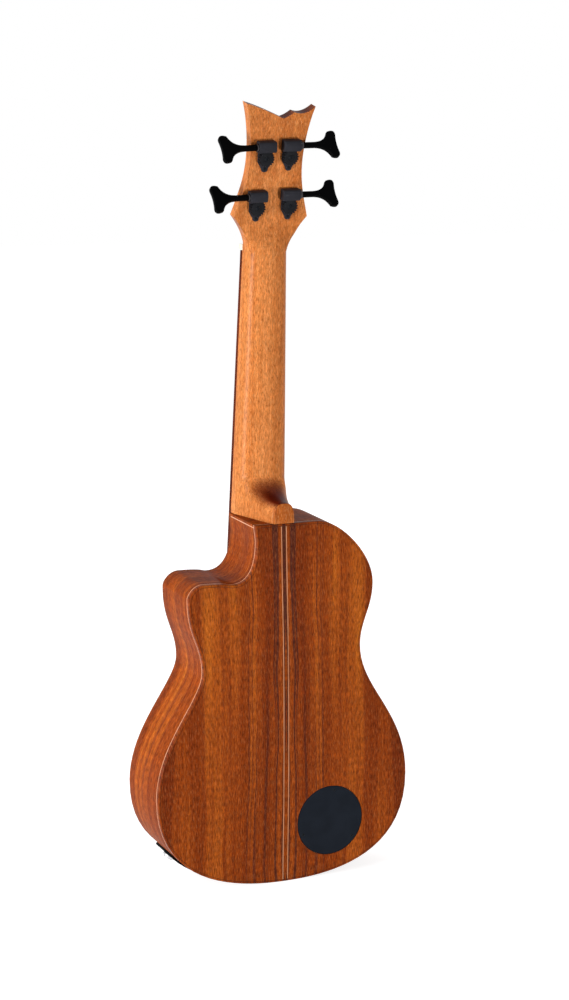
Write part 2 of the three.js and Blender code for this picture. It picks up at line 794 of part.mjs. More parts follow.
// The heel's cap lies in a plane parallel to the back's edge and stands a little proud of it
const capFace = (x, z) => backEdge(x, z) + heelCapProud;
const heelFace = (x, z) => capFace(x, z) - heelCapThickness - glueGap;

// The heel as outlines stacked from inside the neck out to the cap. It narrows towards the
// cap, its top falls away from the neck in a hollow sweep, and its flanks fade into the neck
function heel() {
  const full = jointDepth + heelCapProud - heelCapThickness;
  const startShare = neckDepthAtJoint / 3 / full;
  const shares = Array.from({ length: heelLevels + 1 }, (_, i) => lerp(startShare, 1, i / heelLevels));
  const outlines = shares.map((share) => {
    const towardsCap = (share - startShare) / (1 - startShare);
    const drop = clamp((1 - share) / (1 - neckDepthAtJoint / full), 0, 1);
    const inNeck = clamp(1 - (share * full) / neckDepthAtJoint, 0, 1);
    const reach = heelCapLength + heelSweep * (1 - Math.sqrt(1 - drop ** 2)) + heelFairing * inNeck;
    return dome(lerp(jointHalfWidth, heelCapHalfWidth, towardsCap), reach, heelRoundness);
  });
  return loft(outlines, (point, i) => {
    const z = bodyLength + glueGap + point.y;
    return new THREE.Vector3(point.x, lerp(neckFace(z), heelFace(point.x, z), shares[i]), z);
  });
}

function addHeelCap() {
  const outline = dome(heelCapHalfWidth, heelCapLength, heelRoundness)
    .map((point) => new THREE.Vector2(point.x, point.y + bodyLength + glueGap));
  const front = (x, z) => capFace(x, z) - heelCapThickness;
  piece('heel_cap', slab(outline, front, capFace), figuredWood);
}

// The neck as it is carved: a rounded section that turns into a flat slab behind the nut
function carvedNeck() {
  const carveShares = [0.2, 0.4, 0.6, 0.8, 1];
  const onHead = (height) => ({ x, y }) => new THREE.Vector3(x, y, height).applyMatrix4(head.matrix);
  const shaft = [bodyLength + glueGap, nutHeight].map((z) => ({
    outline: dome(neckHalfWidth(z), neckDepth(z) - glueGap, neckRoundness),
    place: ({ x, y }) => new THREE.Vector3(x, neckFace(z) + glueGap + y, z),
  }));
  const carved = carveShares.map((share) => {
    const halfWidth = lerp(nutHalfWidth, headCornerHalfWidth + carveMargin, share ** 1.8);
    const depth = lerp(neckDepthAtNut, headThickness, smoothstep(share, 0, 1));
    const square = rectangle(halfWidth, depth);
    return {
      outline: dome(halfWidth, depth, neckRoundness).map((point, i) => point.lerp(square[i], share ** 2)),
      place: onHead(share * carveLength),
    };
  });
  const top = {
    outline: rectangle(headCornerHalfWidth + carveMargin, headThickness),
    place: onHead(trebleTipHeight + overrun),
  };
  const sections = [...shaft, ...carved, top];
  return loft(sections.map(({ outline }) => outline), (point, i) => sections[i].place(point));
}

// The headstock's outline: flared from the neck to its corners, drawn in to a waist, and
// flared again to two tips with a notched crest between them
function headOutline() {
  const path = new THREE.Path().moveTo(headNeckHalfWidth, -overrun);
  path.lineTo(headNeckHalfWidth, headNeckHeight);
  const flareBend = new THREE.Vector2(
    lerp(headNeckHalfWidth, headCornerHalfWidth, 0.19),
    lerp(headNeckHeight, headCornerHeight, 0.44),
  );
  const waistBend = new THREE.Vector2(
    lerp(headWaistHalfWidth, headCornerHalfWidth, 0.62),
    lerp(headCornerHeight, headWaistHeight, 0.28),
  );
  const waistStart = lerp(headCornerHeight, headWaistHeight, 0.58);
  path.quadraticCurveTo(flareBend.x, flareBend.y, headCornerHalfWidth, headCornerHeight);
  path.bezierCurveTo(
    waistBend.x,
    waistBend.y,
    headWaistHalfWidth,
    waistStart,
    headWaistHalfWidth,
    headWaistHeight,
  );
  path.bezierCurveTo(
    headWaistHalfWidth,
    lerp(headWaistHeight, trebleTipHeight, 0.35),
    lerp(headWaistHalfWidth, trebleTipReach, 0.45),
    lerp(headWaistHeight, trebleTipHeight, 0.75),
    trebleTipReach,
    trebleTipHeight,
  );
  path.bezierCurveTo(
    lerp(trebleTipReach, -notchReach, 0.3),
    lerp(trebleTipHeight, notchHeight, 0.2),
    lerp(trebleTipReach, -notchReach, 0.7),
    lerp(trebleTipHeight, notchHeight, 0.65),
    -notchReach,
    notchHeight,
  );
  const peakBend = new THREE.Vector2(
    -lerp(notchReach, peakReach, 0.5),
    lerp(notchHeight, peakHeight, 0.25),
  );
  path.quadraticCurveTo(peakBend.x, peakBend.y, -peakReach, peakHeight);
  path.quadraticCurveTo(-lerp(peakReach, dipReach, 0.5), dipHeight, -dipReach, dipHeight);
  path.quadraticCurveTo(-lerp(dipReach, bassTipReach, 0.5), dipHeight, -bassTipReach, bassTipHeight);
  path.bezierCurveTo(
    -lerp(headWaistHalfWidth, bassTipReach, 0.45),
    lerp(headWaistHeight, bassTipHeight, 0.75),
    -headWaistHalfWidth,
    lerp(headWaistHeight, bassTipHeight, 0.35),
    -headWaistHalfWidth,
    headWaistHeight,
  );
  path.bezierCurveTo(
    -headWaistHalfWidth,
    waistStart,
    -waistBend.x,
    waistBend.y,
    -headCornerHalfWidth,
    headCornerHeight,
  );
  path.quadraticCurveTo(-flareBend.x, flareBend.y, -headNeckHalfWidth, headNeckHeight);
  path.lineTo(-headNeckHalfWidth, -overrun);
  return path.getPoints(curveSteps);
}

function addNeck() {
  const far = scaleLength;
  const headTrim = slab(headOutline(), level(-far), level(far));
  const neckTrim = boxBetween([-far, far], [-far, far], [-far, 0]);
  const trim = joined(headTrim, neckTrim).applyMatrix4(head.matrix);
  const postHoles = strings.map(({ side, postReach, postHeight }) => (
    disc(bushingSleeveRadius + glueGap, -overrun, headThickness + overrun)
      .translate(side * postReach, 0, postHeight)
      .applyMatrix4(head.matrix)));
  const blank = common(joined(carvedNeck(), heel()), trim);
  piece('neck', cut(blank, ...postHoles), neckWood);
}

// Fretboard with its frets: over the neck it follows the neck's face, over the body it keeps
// that slope in front and lies flat on the soundboard behind
function addFretboard() {
  const front = (x, z) => neckFace(z) - fretboardThickness;
  const heights = [fretboardEnd, bodyLength, nutHeight];
  const corners = [[-1, 0], [1, 0], [1, 1], [-1, 1]].map(([x, y]) => new THREE.Vector2(x, y));
  const board = loft(heights.map(() => corners), ({ x, y }, i) => {
    const z = heights[i];
    const back = Math.max(neckFace(z), 0);
    return new THREE.Vector3(x * neckHalfWidth(z), lerp(front(x, z), back, y), z);
  });
  const frets = Array.from({ length: fretCount }, (_, i) => {
    const [low, high] = [-1, 1].map((end) => fretHeight(i + 1) + (end * fretWidth) / 2);
    const outline = [
      new THREE.Vector2(-neckHalfWidth(low), low),
      new THREE.Vector2(neckHalfWidth(low), low),
      new THREE.Vector2(neckHalfWidth(high), high),
      new THREE.Vector2(-neckHalfWidth(high), high),
    ];
    const crown = (x, z) => front(x, z) - fretProud;
    const tang = (x, z) => front(x, z) + fretProud;
    return slab(outline, crown, tang);
  });
  piece('fretboard', joined(board, ...frets), darkWood);
}

// Nut with a slot for each string, standing where the headstock starts
function addNut() {
  const [low, high] = [nutHeight + glueGap, nutHeight + nutThickness];
  const headFront = (z) => neckFace(nutHeight) + (z - nutHeight) * Math.tan(neckLean + headPitch);
  const outline = [
    new THREE.Vector2(-nutHalfWidth, low),
    new THREE.Vector2(nutHalfWidth, low),
    new THREE.Vector2(nutHalfWidth, high),
    new THREE.Vector2(-nutHalfWidth, high),
  ];
  const front = (x, z) => neckFace(z) - fretboardThickness - nutProud;
  const block = slab(outline, front, (x, z) => headFront(z) - glueGap);
  const slots = strings.map((string, i) => bar(stringPath(string, i).slice(2), string.radius + glueGap));
  piece('nut', cut(block, ...slots), bone);
}

function addStrings() {
  strings.forEach((string, i) => {
    const path = stringPath(string, i);
    const knot = new THREE.SphereGeometry(knotRadius(string), stringSides, stringSides);
    knot.translate(path[0].x, path[0].y, path[0].z);
    piece(`string_${string.name}`, joined(bar(path, string.radius), knot), stringRubber);
  });
}

// Tuning machine pieces, in a frame at the post on the head's back face: x outward along the
// shaft, y away from the head, z up the head. The worm's axis lies beside the gear
const wormStart = housingEndWall + glueGap - housingInner;
const collarStart = housingOuter + glueGap;
const collarEnd = collarStart + collarThickness;
const atWorm = (geometry) => geometry.translate(0, wormRise, wormOffset);

function machinePlateOutline() {
  const path = new THREE.Path().moveTo(machinePlateHalfWidth, -machinePlateTaper);
  path.lineTo(machinePlateHalfWidth, machinePlateTop);
  path.lineTo(-machinePlateHalfWidth, machinePlateTop);
  path.lineTo(-machinePlateHalfWidth, -machinePlateTaper);
  path.lineTo(-machineTipRadius, -machineTipDrop);
  const end = -machineTipDrop - machineTipRadius;
  path.quadraticCurveTo(-machineTipRadius, end, 0, end);
  path.quadraticCurveTo(machineTipRadius, end, machineTipRadius, -machineTipDrop);
  return path.getPoints(curveSteps);
}

function wormBarrel() {
  const [low, high] = [wormOffset - housingHalfHeight, wormOffset + housingHalfHeight];
  const shoulder = lerp(glueGap, housingRise, 0.6);
  const path = new THREE.Path().moveTo(low, glueGap);
  path.lineTo(low, shoulder);
  path.quadraticCurveTo(low, housingRise, wormOffset, housingRise);
  path.quadraticCurveTo(high, housingRise, high, shoulder);
  path.lineTo(high, glueGap);
  const ends = [-housingInner, housingOuter];
  const outline = path.getPoints(curveSteps);
  return loft(ends.map(() => outline), ({ x, y }, i) => new THREE.Vector3(ends[i], y, x));
}

function machineHousing() {
  const plateFace = glueGap + machinePlateThickness;
  const plate = slab(machinePlateOutline(), level(glueGap), level(plateFace));
  const boreRadius = wormRadius + runningGap;
  const bore = turnedAcross([
    [0, wormStart - glueGap],
    [boreRadius, wormStart - glueGap],
    [boreRadius, housingOuter + overrun],
    [0, housingOuter + overrun],
  ]);
  const slotRadius = gearRadius + runningGap;
  const gearSlot = disc(slotRadius, gearFloor - runningGap, gearTop + runningGap, coverSides);
  const postHole = disc(postNeckRadius + runningGap, -overrun, gearFloor);
  return cut(joined(plate, wormBarrel()), atWorm(bore), gearSlot, postHole);
}

function wormGear() {
  const toothShares = [[0.2, 1], [0.55, 1], [0.9, 0]];
  const outline = Array.from({ length: gearTeeth }, (_, tooth) => toothShares.map(([turn, crest]) => {
    const angle = (2 * Math.PI * (tooth + turn)) / gearTeeth;
    const radius = gearRadius - gearToothDepth * (1 - crest);
    return new THREE.Vector2(radius * Math.cos(angle), radius * Math.sin(angle));
  })).flat();
  const bore = circle(0, 0, postNeckRadius + glueGap, machineSides);
  return slab(outline, level(gearFloor), level(gearTop), [bore]);
}

function worm() {
  const pitch = (2 * Math.PI * gearRadius) / gearTeeth;
  const ridges = Array.from({ length: wormTurns }, (_, i) => {
    const middle = (i - (wormTurns - 1) / 2) * pitch;
    return [[wormRootRadius, middle - pitch / 2], [wormRadius, middle]];
  }).flat();
  const bearingStart = (pitch * wormTurns) / 2 + glueGap;
  return atWorm(turnedAcross([
    [0, wormStart],
    [wormRootRadius, wormStart],
    ...ridges,
    [wormRootRadius, bearingStart],
    [wormRadius, bearingStart],
    [wormRadius, collarStart],
    [collarRadius, collarStart],
    [collarRadius, collarEnd],
    [keyStubRadius, collarEnd],
    [keyStubRadius, keyStart],
    [0, keyStart],
  ]));
}

// The outline of a key's blade: it spreads from the shaft into two lobes with a hollow between
function keyOutline() {
  const lobeSide = keyLobeRadius * Math.SQRT1_2;
  const tip = keyLobeReach + keyLobeRadius;
  const root = keyThickness / 2;
  const [nearReach, farReach] = [0.42, 0.68].map((share) => lerp(keyStart, keyLobeReach, share));
  const farRise = lerp(root, keyLobeOffset, 0.55);
  const lobeStart = new THREE.Vector2(keyLobeReach - lobeSide, keyLobeOffset + lobeSide);
  const lobeBend = new THREE.Vector2(tip, keyLobeOffset + keyLobeRadius + lobeSide / 2);
  const path = new THREE.Path().moveTo(keyStart, -root);
  path.bezierCurveTo(nearReach, -root, farReach, -farRise, lobeStart.x, -lobeStart.y);
  path.quadraticCurveTo(lobeBend.x, -lobeBend.y, tip, -keyLobeOffset);
  path.quadraticCurveTo(tip - 2 * keyHollow, 0, tip, keyLobeOffset);
  path.quadraticCurveTo(lobeBend.x, lobeBend.y, lobeStart.x, lobeStart.y);
  path.bezierCurveTo(farReach, farRise, nearReach, root, keyStart, root);
  return path.getPoints(curveSteps);
}

function machineKey() {
  const depth = keyThickness - 2 * keyEdge;
  const blade = new THREE.ExtrudeGeometry(new THREE.Shape(keyOutline()), {
    depth,
    bevelThickness: keyEdge,
    bevelSize: keyEdge,
    bevelOffset: -keyEdge,
    bevelSegments: 1,
  });
  blade.translate(0, 0, -depth / 2).rotateX(Math.PI / 2 + keyTurn);
  const sleeveStart = collarEnd + glueGap;
  const sleeveEnd = lerp(keyStart, keyLobeReach, 1 / 3);
  const sleeve = turnedAcross([
    [0, sleeveStart],
    [shaftRadius, sleeveStart],
    [shaftRadius, keyStart],
    [keyThickness / 2, sleeveEnd],
    [0, sleeveEnd],
  ]);
  const socketRadius = keyStubRadius + glueGap;
  const socket = turnedAcross([
    [0, sleeveStart - overrun],
    [socketRadius, sleeveStart - overrun],
    [socketRadius, keyStart + glueGap],
    [0, keyStart + glueGap],
  ]);
  return atWorm(cut(joined(blade, sleeve), socket));
}

function tuningPost() {
  const footStart = -headThickness - postFoot;
  const drumStart = footStart - drumFootThickness;
  const end = -headThickness - postRise;
  return turned([
    [0, gearTop],
    [postNeckRadius, gearTop],
    [postNeckRadius, -glueGap],
    [postRadius, -glueGap],
    [postRadius, footStart],
    [postFlangeRadius, footStart],
    [postFlangeRadius, drumStart],
    [drumRadius, drumStart],
    [drumRadius, end + postFlangeThickness],
    [postFlangeRadius, end + postFlangeThickness],
    [postFlangeRadius, end],
    [0, end],
  ]);
}

function postBushing() {
  const face = -headThickness - glueGap;
  const bore = postRadius + runningGap;
  return turned([
    [bore, face - bushingThickness],
    [bushingRadius, face - bushingThickness],
    [bushingRadius, face],
    [bushingSleeveRadius, face],
    [bushingSleeveRadius, face + bushingSleeveLength],
    [bore, face + bushingSleeveLength],
    [bore, face - bushingThickness],
  ]);
}

function addMachine({ name, side, postReach, postHeight, skew }) {
  const machine = new THREE.Group();
  machine.position.set(side * postReach, headThickness, postHeight);
  machine.rotation.y = skew;
  head.add(machine);
  const onSide = (geometry) => geometry.scale(side, 1, 1);
  piece(`tuner_housing_${name}`, onSide(machineHousing()), blackMetal, machine);
  piece(`tuner_gear_${name}`, onSide(wormGear()), blackMetal, machine);
  piece(`tuner_worm_${name}`, onSide(worm()), blackMetal, machine);
  piece(`tuner_key_${name}`, onSide(machineKey()), blackMetal, machine);
  piece(`tuner_post_${name}`, onSide(tuningPost()), blackMetal, machine);
  piece(`tuner_bushing_${name}`, onSide(postBushing()), blackMetal, machine);
}

addSoundboard();
addBindings();
addSides();
addBack();
addLinings();
addBlocks();
addBraces();
addAccessCover();
addBridge();
addJack();
addHeelCap();
addNeck();
addFretboard();
addNut();
addStrings();
strings.forEach(addMachine);

export default instrument;
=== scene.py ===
"""Looks of a bass ukulele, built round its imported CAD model. Metres, in the model's own frame.

Shapes are drawn with the soundboard's outer face at y = 0 and the tail at z = 0, and are moved
into the frame when they are finished. The back faces +Y and the cutaway side is +X."""
import math
from functools import lru_cache

import bmesh
import bpy
from mathutils import Matrix, Vector


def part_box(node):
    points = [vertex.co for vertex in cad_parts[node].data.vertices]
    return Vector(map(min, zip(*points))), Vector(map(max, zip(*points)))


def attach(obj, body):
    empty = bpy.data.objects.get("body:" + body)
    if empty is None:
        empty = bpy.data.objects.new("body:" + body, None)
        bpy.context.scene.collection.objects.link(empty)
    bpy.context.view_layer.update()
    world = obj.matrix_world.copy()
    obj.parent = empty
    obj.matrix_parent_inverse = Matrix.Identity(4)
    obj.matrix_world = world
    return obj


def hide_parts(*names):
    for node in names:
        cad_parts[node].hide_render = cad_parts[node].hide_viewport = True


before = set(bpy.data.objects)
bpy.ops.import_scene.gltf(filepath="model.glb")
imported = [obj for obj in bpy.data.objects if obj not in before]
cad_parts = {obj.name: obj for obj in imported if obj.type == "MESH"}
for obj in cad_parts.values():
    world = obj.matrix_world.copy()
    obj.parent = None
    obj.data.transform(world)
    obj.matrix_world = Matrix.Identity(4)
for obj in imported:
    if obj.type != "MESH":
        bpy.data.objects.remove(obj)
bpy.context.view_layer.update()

MM = 0.001

# Photograph, in pixels, and the camera that took it
PHOTO_HEIGHT = 1000
FOCAL_PIXELS = 2401.15
SENSOR_LENGTH = 36
CAMERA_AZIMUTH = math.radians(155.645)
CAMERA_ELEVATION = math.radians(11.693)
CAMERA_ROLL = math.radians(0.938)
CAMERA_DISTANCE = 2366.16 * MM
CAMERA_TARGET = Vector((-14.95, 35, 376.88)) * MM

# Floor and light: each lamp has a place, a size, a power, and whether gloss mirrors it
WHITE = (1, 1, 1, 1)
FLOOR_HALF_WIDTH = 6
FLOOR_TONE = (0.5, 0.5, 0.5, 1)
FLOOR_ROUGHNESS = 0.9
FLOOR_GLOW = 0.84
WORLD_LIGHT = 0.34
LAMP_AIM = Vector((0, 0, 0.4))
LAMPS = (
    ("left_lamp", Vector((2.0, 0.5, 0.4)), 0.8, 54, True),
    ("low_lamp", Vector((-0.6, 1.6, 0.02)), 0.1, 29, False),
    ("front_lamp", Vector((0.3, -1.8, 1.2)), 1.4, 24, False),
)

# Facets of round shapes
TURNED_SIDES = 48
DISC_SIDES = 96
SMALL_SIDES = 32
BORE_SIDES = 24
SIDE_DOT_SIDES = 20
JACK_NUT_SIDES = 12
STRING_SIDES = 16
QUARTER_TURN = [math.radians(15 * i) for i in range(7)]
HALF_TURN = [math.pi * i / 12 for i in range(13)]

# Scale and frets
SCALE_LENGTH = 521.2 * MM
BODY_JOINT_FRET = 12
FRET_COUNT = 16
SEMITONES = 12

# Body outline: half widths and heights above the tail
BODY_LENGTH = 360.5 * MM
LOWER_HALF_WIDTH = 134.2 * MM
LOWER_HEIGHT = 96.3 * MM
BASS_WAIST_HALF_WIDTH = 82.9 * MM
BASS_WAIST_HEIGHT = 232.5 * MM
SHOULDER_HALF_WIDTH = 96.8 * MM
SHOULDER_HEIGHT = 295.6 * MM
BASS_FLAT_HALF_WIDTH = 37.2 * MM
TREBLE_WAIST_HALF_WIDTH = 85.3 * MM
TREBLE_WAIST_HEIGHT = 219.1 * MM
HORN_HALF_WIDTH = 100.2 * MM
HORN_HEIGHT = 292 * MM
HORN_TOP_REACH = 84 * MM
HORN_TOP_HEIGHT = 306.4 * MM
CUTAWAY_FLOOR_REACH = 53.4 * MM
CUTAWAY_FLOOR_HEIGHT = 303.9 * MM
CUTAWAY_SIDE_REACH = 28.1 * MM
CUTAWAY_SIDE_HEIGHT = 345 * MM
TREBLE_FLAT_HALF_WIDTH = 30 * MM
RIM_STEPS = 20
HEAD_STEPS = 14

# Body depth, plates and inlays
TAIL_DEPTH = 85 * MM
JOINT_DEPTH = 67.5 * MM
BACK_ARCH = 4.2 * MM
ARCH_REACH = 90 * MM
PLATE_THICKNESS = 2.6 * MM
PLATE_CELL = 8 * MM
RIB_THICKNESS = 2 * MM
BINDING_WIDTH = 2 * MM
BINDING_DEPTH = 5 * MM
BINDING_ROUND = 1.1 * MM
PURFLING_WIDTH = 0.4 * MM
SIDE_LINE_DEPTH = 0.9 * MM
CORNER_STRIP = 2.4 * MM
CENTRE_STRIP_WIDTH = 4.2 * MM
CENTRE_LINE_WIDTH = 0.9 * MM
GLUE_GAP = 0.25 * MM
SEAM = 0.05 * MM
OVERRUN = 3 * MM

# Soundhole, bridge and front
SOUNDHOLE_RADIUS = 32 * MM
SOUNDHOLE_HEIGHT = 243 * MM
ROSETTE_RINGS = ((35 * MM, 1 * MM), (37.5 * MM, 4 * MM), (43 * MM, 1 * MM))
BRIDGE_HALF_WIDTH = 62 * MM
BRIDGE_WING_HALF_WIDTH = 40 * MM
BRIDGE_BELOW_SADDLE = 23 * MM
BRIDGE_ABOVE_SADDLE = 10 * MM
BRIDGE_DEPTH = 10 * MM
BRIDGE_PLATE_DEPTH = 3 * MM
BRIDGE_ROUND = 1.4 * MM
SADDLE_THICKNESS = 3 * MM
SADDLE_HALF_LENGTH = 33 * MM
SADDLE_FRONT = 17.6 * MM
SADDLE_SLOT_FLOOR = 2.5 * MM
INLAY_PROUD = 0.06 * MM

# Access cover
COVER_REACH = 48.4 * MM
COVER_HEIGHT = 57.3 * MM
COVER_RADIUS = 35.4 * MM
COVER_GAP = 0.4 * MM
COVER_EDGE = 0.5 * MM
COVER_RING_SHARES = (0.03, 0.2, 0.4, 0.6, 0.8, 0.93)
COVER_SCREW_RADIUS = 31.5 * MM
COVER_SCREW_ANGLES = (98, -22, -142)
SCREW_HEAD_RADIUS = 1.8 * MM

# Shares of a screw head's radius: its crown, its foot's radius and depth, its slots' half sizes
SCREW_CROWN_SHARE = 0.28
SCREW_FOOT_SHARES = (0.9, 0.3)
SCREW_SLOT_SHARES = (0.55, 0.13)

# Output jack in the treble rim
JACK_REACH = 102 * MM
JACK_DEPTH = 33 * MM
JACK_PLATE_BELOW = 24 * MM
JACK_PLATE_ABOVE = 12 * MM
JACK_PLATE_TOWARDS_FRONT = 15 * MM
JACK_PLATE_TOWARDS_BACK = 29 * MM
JACK_PLATE_THICKNESS = 2.2 * MM
JACK_BARREL_RADIUS = 4.8 * MM
JACK_BORE_RADIUS = 3.25 * MM
JACK_BARREL_LENGTH = 26 * MM
JACK_NUT_RADIUS = 7 * MM
JACK_NUT_THICKNESS = 2 * MM
JACK_STAND_OUT = 6 * MM
JACK_SCREW_RADIUS = 1.6 * MM
JACK_SCREW_INSET = 4.2 * MM
JACK_INNER_NUT_GAP = 0.8 * MM

# Neck, heel and fretboard
NECK_LEAN = math.radians(1.6)
NUT_HALF_WIDTH = 21.6 * MM
JOINT_HALF_WIDTH = 27.5 * MM
NECK_DEPTH_AT_NUT = 21.2 * MM
NECK_DEPTH_AT_JOINT = 22.9 * MM
NECK_ROUNDNESS = 2.6
HEEL_ROUNDNESS = 3.2
NECK_SIDES = 48
NECK_LEVELS = 13
CARVE_LEVELS = 16
CARVE_FLARE = 1.8
HEEL_LEVELS = 28
HEEL_START_SHARE = 1 / 3
HEEL_CAP_HALF_WIDTH = 10.9 * MM
HEEL_CAP_LENGTH = 20 * MM
HEEL_CAP_THICKNESS = 3 * MM
HEEL_CAP_PROUD = 0.8 * MM
HEEL_SWEEP = 24 * MM
HEEL_FAIRING = 30 * MM
HEEL_SMOOTH_HEIGHT = 440 * MM
HEEL_SMOOTHING = 30
NECK_VOXEL = 0.8 * MM
NECK_SMOOTHING = 5
FRETBOARD_THICKNESS = 5.5 * MM
FRETBOARD_PAST_LAST_FRET = 7 * MM
FRET_WIDTH = 2.3 * MM
FRET_PROUD = 1.1 * MM
FRET_END_SHARE = 0.4
NUT_THICKNESS = 5.5 * MM
DOT_FRETS = (3, 5, 7, 10, 12)
DOT_RADIUS = 2.6 * MM
SIDE_DOT_RADIUS = 1.1 * MM

# Headstock, with heights measured from the nut along its face
HEAD_PITCH = math.radians(10)
HEAD_THICKNESS = 10.8 * MM
HEAD_NECK_HALF_WIDTH = 21.9 * MM
HEAD_NECK_HEIGHT = 8 * MM
HEAD_CORNER_HALF_WIDTH = 38.2 * MM
HEAD_CORNER_HEIGHT = 36.5 * MM
HEAD_WAIST_HALF_WIDTH = 27.3 * MM
HEAD_WAIST_HEIGHT = 92 * MM
TREBLE_TIP_REACH = 36.2 * MM
TREBLE_TIP_HEIGHT = 147.5 * MM
BASS_TIP_REACH = 35.5 * MM
BASS_TIP_HEIGHT = 144.5 * MM
NOTCH_REACH = 3 * MM
NOTCH_HEIGHT = 133 * MM
PEAK_REACH = 14 * MM
PEAK_HEIGHT = 139 * MM
DIP_REACH = 20.5 * MM
DIP_HEIGHT = 137.8 * MM
CARVE_LENGTH = 31 * MM
CARVE_MARGIN = 4 * MM

# Bends of the head's outline, as shares across and up from one of its points to the next
FLARE_SHARES = (0.19, 0.44)
BOW_SHARES = (0.38, 0.28)
DRAW_SHARES = (1, 0.58)
TIP_SHARES = ((0, 0.35), (0.45, 0.75))
NOTCH_SHARES = ((0.3, 0.2), (0.7, 0.65))
PEAK_SHARES = (0.5, 0.25)
DIP_SHARES = (0.5, 1)
BASS_TIP_SHARES = (0.5, 0)

# Tuning machines: reach is measured from the post outward, rise from the head's back face
GEAR_TEETH = 18
GEAR_RADIUS = 7.8 * MM
GEAR_TOOTH_DEPTH = 1.2 * MM
GEAR_TOOTH_SHARES = ((0.14, 0.9), (0.24, 1), (0.5, 1), (0.6, 0.9), (0.82, 0), (0.97, 0))
GEAR_FLOOR = 3.3 * MM
GEAR_TOP = 6.1 * MM
GEAR_SCREW_RADIUS = 2.4 * MM
WORM_OFFSET = 11.5 * MM
WORM_RADIUS = 3.3 * MM
WORM_ROOT_RADIUS = 2.4 * MM
WORM_TURNS = 3
WORM_RISE = 4.7 * MM
RUNNING_GAP = 0.4 * MM
MACHINE_PLATE_THICKNESS = 1.5 * MM
MACHINE_PLATE_HALF_WIDTH = 7.6 * MM
MACHINE_PLATE_TAPER = 3.5 * MM
MACHINE_PLATE_TOP = 8 * MM
MACHINE_TIP_RADIUS = 3.2 * MM
MACHINE_TIP_DROP = 10.7 * MM
PLATE_SCREW_RADIUS = 1.7 * MM
HOUSING_INNER = 8.8 * MM
HOUSING_OUTER = 9.2 * MM
HOUSING_HALF_HEIGHT = 5.5 * MM
HOUSING_RISE = 9.2 * MM
HOUSING_SHOULDER_SHARE = 0.6
HOUSING_END_WALL = 1.4 * MM
HOUSING_EDGE = 0.35 * MM
COLLAR_RADIUS = 3.9 * MM
COLLAR_THICKNESS = 1.7 * MM
SHAFT_RADIUS = 3 * MM
KEY_START = 23.5 * MM
KEY_LOBE_REACH = 42.6 * MM
KEY_LOBE_OFFSET = 9.7 * MM
KEY_LOBE_RADIUS = 4.9 * MM
KEY_HOLLOW = 1 * MM
KEY_BEND_SHARES = (0.42, 0.68)
KEY_RISE_SHARE = 0.55
KEY_SLEEVE_SHARE = 1 / 3
KEY_THICKNESS = 5.2 * MM
KEY_EDGE = 1.1 * MM
KEY_STUB_RADIUS = 1.7 * MM
KEY_TURN = math.radians(45)
KEY_VOXEL = 0.4 * MM
KEY_SMOOTHING = 4
POST_RADIUS = 3.8 * MM
POST_NECK_RADIUS = 2.5 * MM
POST_RISE = 21 * MM
POST_FLANGE_RADIUS = 5.3 * MM
POST_FLANGE_THICKNESS = 2 * MM
DRUM_RADIUS = 4 * MM
DRUM_FOOT_THICKNESS = 1.2 * MM
BUSHING_RADIUS = 7.4 * MM
BUSHING_THICKNESS = 1.6 * MM
BUSHING_SLEEVE_RADIUS = 5.5 * MM
BUSHING_SLEEVE_LENGTH = 8 * MM
EDGE = 0.3 * MM

# Strings
NUT_SPREAD = 32.4 * MM
SADDLE_SPREAD = 48 * MM
STRING_LIFT = 0.5 * MM
STRING_BEND = 1.4 * MM
BEND_STEPS = 6
KNOT_MARGIN = 1.6 * MM
WINDING_TURNS = 2
WINDING_STEPS = 24
STRINGS = (
    {"name": "e", "radius": 2.2 * MM, "side": -1, "reach": 16.8 * MM, "height": 47.8 * MM, "skew": 1.1},
    {"name": "a", "radius": 1.7 * MM, "side": -1, "reach": 12.6 * MM, "height": 96.3 * MM, "skew": 1.1},
    {"name": "d", "radius": 1.3 * MM, "side": 1, "reach": 12.6 * MM, "height": 95 * MM, "skew": 2.5},
    {"name": "g", "radius": 1.0 * MM, "side": 1, "reach": 16.8 * MM, "height": 46.4 * MM, "skew": 2.5},
)


def mix(a, b, share):
    return a + (b - a) * share


def clamp(value, low=0, high=1):
    return max(low, min(high, value))


# Places worked out from the sizes
def fret_height(fret):
    return NUT_HEIGHT - SCALE_LENGTH * (1 - 2 ** (-fret / SEMITONES)) * math.cos(NECK_LEAN)


NUT_HEIGHT = BODY_LENGTH + SCALE_LENGTH * (1 - 2 ** (-BODY_JOINT_FRET / SEMITONES)) * math.cos(NECK_LEAN)
SADDLE_HEIGHT = NUT_HEIGHT - SCALE_LENGTH * math.cos(NECK_LEAN)
FRETBOARD_END = fret_height(FRET_COUNT) - FRETBOARD_PAST_LAST_FRET
POST_FOOT = BUSHING_THICKNESS + 2 * GLUE_GAP
PAST_BACK = TAIL_DEPTH + BACK_ARCH + OVERRUN
BODY_SPAN = LOWER_HALF_WIDTH + OVERRUN
PLATE_INSET = BINDING_WIDTH + PURFLING_WIDTH + SEAM


def neck_face(z):
    return (z - BODY_LENGTH) * math.tan(NECK_LEAN)


def along_neck(z):
    return (z - BODY_LENGTH) / (NUT_HEIGHT - BODY_LENGTH)


def neck_half_width(z):
    return mix(JOINT_HALF_WIDTH, NUT_HALF_WIDTH, along_neck(z))


def neck_depth(z):
    return mix(NECK_DEPTH_AT_JOINT, NECK_DEPTH_AT_NUT, along_neck(z))


DRAWING = Matrix.Translation((0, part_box("soundboard")[0].y, 0))
TO_HEAD = Matrix.Translation((0, neck_face(NUT_HEIGHT), NUT_HEIGHT)) @ Matrix.Rotation(
    -(NECK_LEAN + HEAD_PITCH), 4, "X"
)
HEAD = DRAWING @ TO_HEAD


